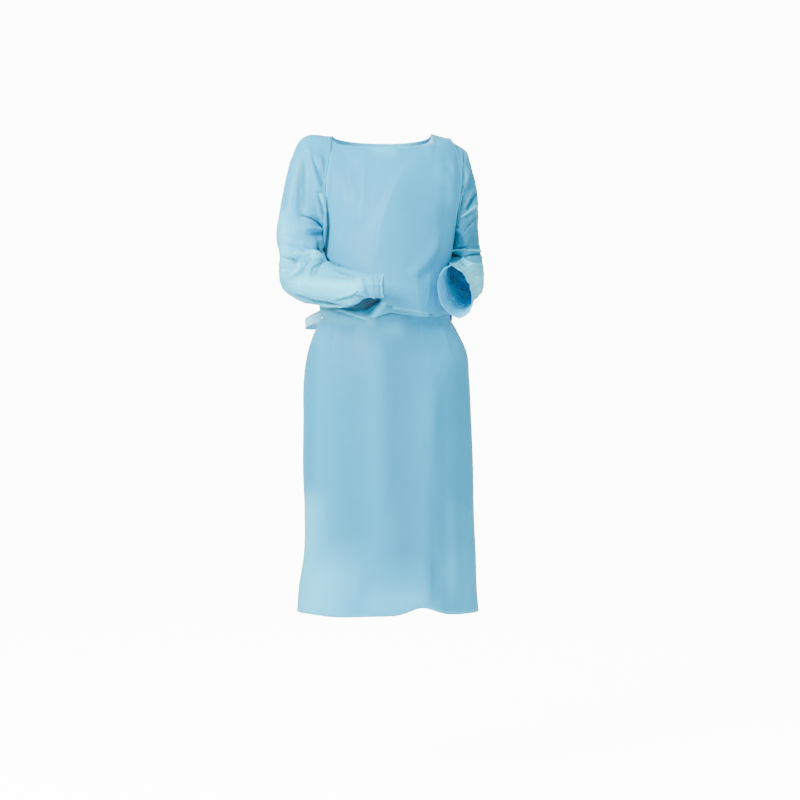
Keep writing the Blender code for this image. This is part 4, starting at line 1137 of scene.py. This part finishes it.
def tie_strip(side, table):
    """A waist tie's grid: rows across its width, columns along it, standing off the waist's narrowest row."""
    row = int(np.argmin(ROWS[:, 6] + (ROWS[:, 5] > UNDERARM)))
    angles = np.linspace(table[0].angle, table[-1].angle, STRIP_COLUMNS)
    middle = spline([p.angle for p in table], [[p.height, p.stand_off] for p in table], angles)
    points = body_line(row, side, angles)
    ahead = body_line(row, side, angles + 1.0) - points
    out = np.stack([ahead[:, 1], -ahead[:, 0], np.zeros(len(angles))], axis=-1) * side
    out /= np.linalg.norm(out, axis=1, keepdims=True)
    points = points + out * middle[:, 1:]
    points[:, 2] = middle[:, 0]
    to_knot = np.abs(points[:, 0]) / TIE_NARROW_LENGTH
    half = TIE_WIDTH / 2 * (TIE_NARROW + (1.0 - TIE_NARROW) * smoothstep(to_knot - TIE_NARROW_START))
    above = np.outer(np.linspace(1.0, -1.0, STRIP_ROWS), half)
    grid = points[None, :, :] + above[:, :, None] * (0.0, 0.0, 1.0)
    return grid if side > 0 else grid[:, ::-1]


def end_strip(table):
    """A free end's grid, hanging from the knot, narrow at its top."""
    at = np.linspace(0, len(table) - 1, STRIP_COLUMNS)
    line = spline(np.arange(len(table)), [list(p) for p in table], at)
    widening = smoothstep(at / END_NARROW_POINTS)
    half = TIE_WIDTH / 2 * (TIE_NARROW + (1.0 - TIE_NARROW) * widening)
    beside = np.outer(half, np.linspace(1.0, -1.0, STRIP_ROWS))
    return line[:, None, :] + beside[:, :, None] * (1.0, 0.0, 0.0)


def make_knot():
    """The tied strips at the centre back: a soft lump with a slanting band, and gathers beside it."""
    turns = np.arange(KNOT_COLUMNS) * 2 * math.pi / KNOT_COLUMNS
    rises = np.linspace(-0.5, 0.5, KNOT_ROWS) * math.pi
    around, up = np.meshgrid(turns, rises[::-1])
    x, y = [np.sign(turn) * np.abs(turn) ** KNOT_SQUARENESS * np.cos(up) ** KNOT_SQUARENESS
            for turn in (np.sin(around), np.cos(around))]
    z = np.sin(up)
    across, rise, shift = KNOT_SLANT
    band = z * rise + x * across + shift
    edge = np.exp(-((np.abs(band) - KNOT_BAND) / KNOT_BAND_EDGE) ** 2)
    count, slant, phase, depth = KNOT_BAND_LINES
    lines = depth * (0.5 + 0.5 * np.sin(count * band + slant * z + phase))
    fan = (z - x * rise) * (1.0 - KNOT_FAN * np.abs(x))
    gathers = 0.5 + 0.5 * np.sin(KNOT_GATHERS * fan + KNOT_GATHER_BEND * np.abs(x))
    outside = smoothstep((np.abs(band) - KNOT_BAND) / KNOT_GATHER_EASE)
    beside = KNOT_GATHER_DEPTH * gathers * outside
    groove = np.maximum(edge, np.where(np.abs(band) > KNOT_BAND, beside, lines))
    swell = KNOT_FILL * (1.0 - KNOT_GROOVE * groove - KNOT_NARROW * outside)
    points = np.stack([x, y, z], axis=-1) * swell[:, :, None]
    grid = points * np.array(KNOT_SIZE) / 2 + np.array(KNOT_CENTRE)
    film("knot_film", grid[:, ::-1], STRIP, "tie_knot", closed=True, deep=KNOT_SHADE * groove**2)


def make_ties():
    make_strip("waist_tie_right", tie_strip(-1, RIGHT_TIE))
    make_strip("waist_tie_left", tie_strip(1, LEFT_TIE))
    make_strip("tie_end_right", end_strip(RIGHT_END))
    make_strip("tie_end_left", end_strip(LEFT_END))
    make_knot()


def camera_ray(tree):
    """A socket that is 1 for what the camera sees directly."""
    return new_node(tree, "LightPath", {}).outputs["Is Camera Ray"]


def make_lights():
    for lamp in LAMPS:
        light = bpy.data.lights.new(lamp.name, "AREA")
        light.shape = "RECTANGLE"
        light.size, light.size_y = lamp.size
        light.energy = lamp.power
        light.color = lamp.colour
        holder = bpy.data.objects.new(lamp.name, light)
        holder.location = lamp.place
        towards = Vector(lamp.target) - Vector(lamp.place)
        holder.rotation_euler = towards.to_track_quat("-Z", "Y").to_euler()
        bpy.context.scene.collection.objects.link(holder)
    world = bpy.data.worlds.new("studio")
    world.use_nodes = True
    tree = world.node_tree
    ambient = tree.nodes["Background"]
    set_inputs(tree, ambient, {"Color": AMBIENT_COLOUR, "Strength": AMBIENT})
    backdrop = new_node(tree, "Background", {"Color": WHITE, "Strength": BACKDROP})
    mix = new_node(tree, "MixShader", {"Fac": camera_ray(tree)})
    tree.links.new(ambient.outputs["Background"], mix.inputs[1])
    tree.links.new(backdrop.outputs["Background"], mix.inputs[2])
    tree.links.new(mix.outputs["Shader"], tree.nodes["World Output"].inputs["Surface"])
    bpy.context.scene.world = world


def make_floor():
    """A plain pale floor that glows as much as the backdrop, so that they meet without a line."""
    bpy.ops.mesh.primitive_circle_add(vertices=FLOOR_CORNERS, radius=FLOOR_RADIUS, fill_type="NGON",
                                      location=(0, 0, FLOOR))
    floor = bpy.context.object
    floor.name = "floor"
    material, tree, shader, place = new_material("floor")
    colour = mix_colour(tree, FLOOR_DARK, FLOOR_LIGHT, noise_at(tree, place, *FLOOR_NOISE))
    glow = new_node(tree, "Math", {}, operation="MULTIPLY")
    glow.inputs[1].default_value = FLOOR_GLOW
    tree.links.new(camera_ray(tree), glow.inputs[0])
    set_inputs(tree, shader, {"Base Color": colour, "Roughness": FLOOR_ROUGHNESS, "Emission Color": WHITE,
                              "Emission Strength": glow.outputs["Value"]})
    floor.data.materials.append(material)


def make_camera():
    camera = bpy.data.cameras.new("camera")
    camera.lens = LENS
    camera.sensor_width = SENSOR
    holder = bpy.data.objects.new("camera", camera)
    holder.location = CAMERA
    holder.rotation_euler = (math.radians(90.0), 0.0, 0.0)
    bpy.context.scene.collection.objects.link(holder)
    bpy.context.scene.camera = holder


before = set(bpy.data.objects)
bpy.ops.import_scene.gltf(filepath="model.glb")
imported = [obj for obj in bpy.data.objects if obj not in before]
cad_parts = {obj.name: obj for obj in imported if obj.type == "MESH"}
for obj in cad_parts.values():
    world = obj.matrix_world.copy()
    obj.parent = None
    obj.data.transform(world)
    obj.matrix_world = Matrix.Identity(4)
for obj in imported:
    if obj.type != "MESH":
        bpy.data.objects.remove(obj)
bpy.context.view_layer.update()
PANEL = film_material(PANEL_TINT)
SLEEVE = film_material(SLEEVE_TINT)
STRIP = film_material(STRIP_TINT)
make_front()
make_back(-1, "back_right")
make_back(1, "back_left")
make_sleeve(-1, RIGHT_SLEEVE, RIGHT_SLEEVE_CREASES, RIGHT_SLEEVE_BACK_CREASES, "sleeve_right")
make_sleeve(1, LEFT_SLEEVE, LEFT_SLEEVE_CREASES, LEFT_SLEEVE_BACK_CREASES, "sleeve_left")
make_ties()
make_lights()
make_floor()
make_camera()
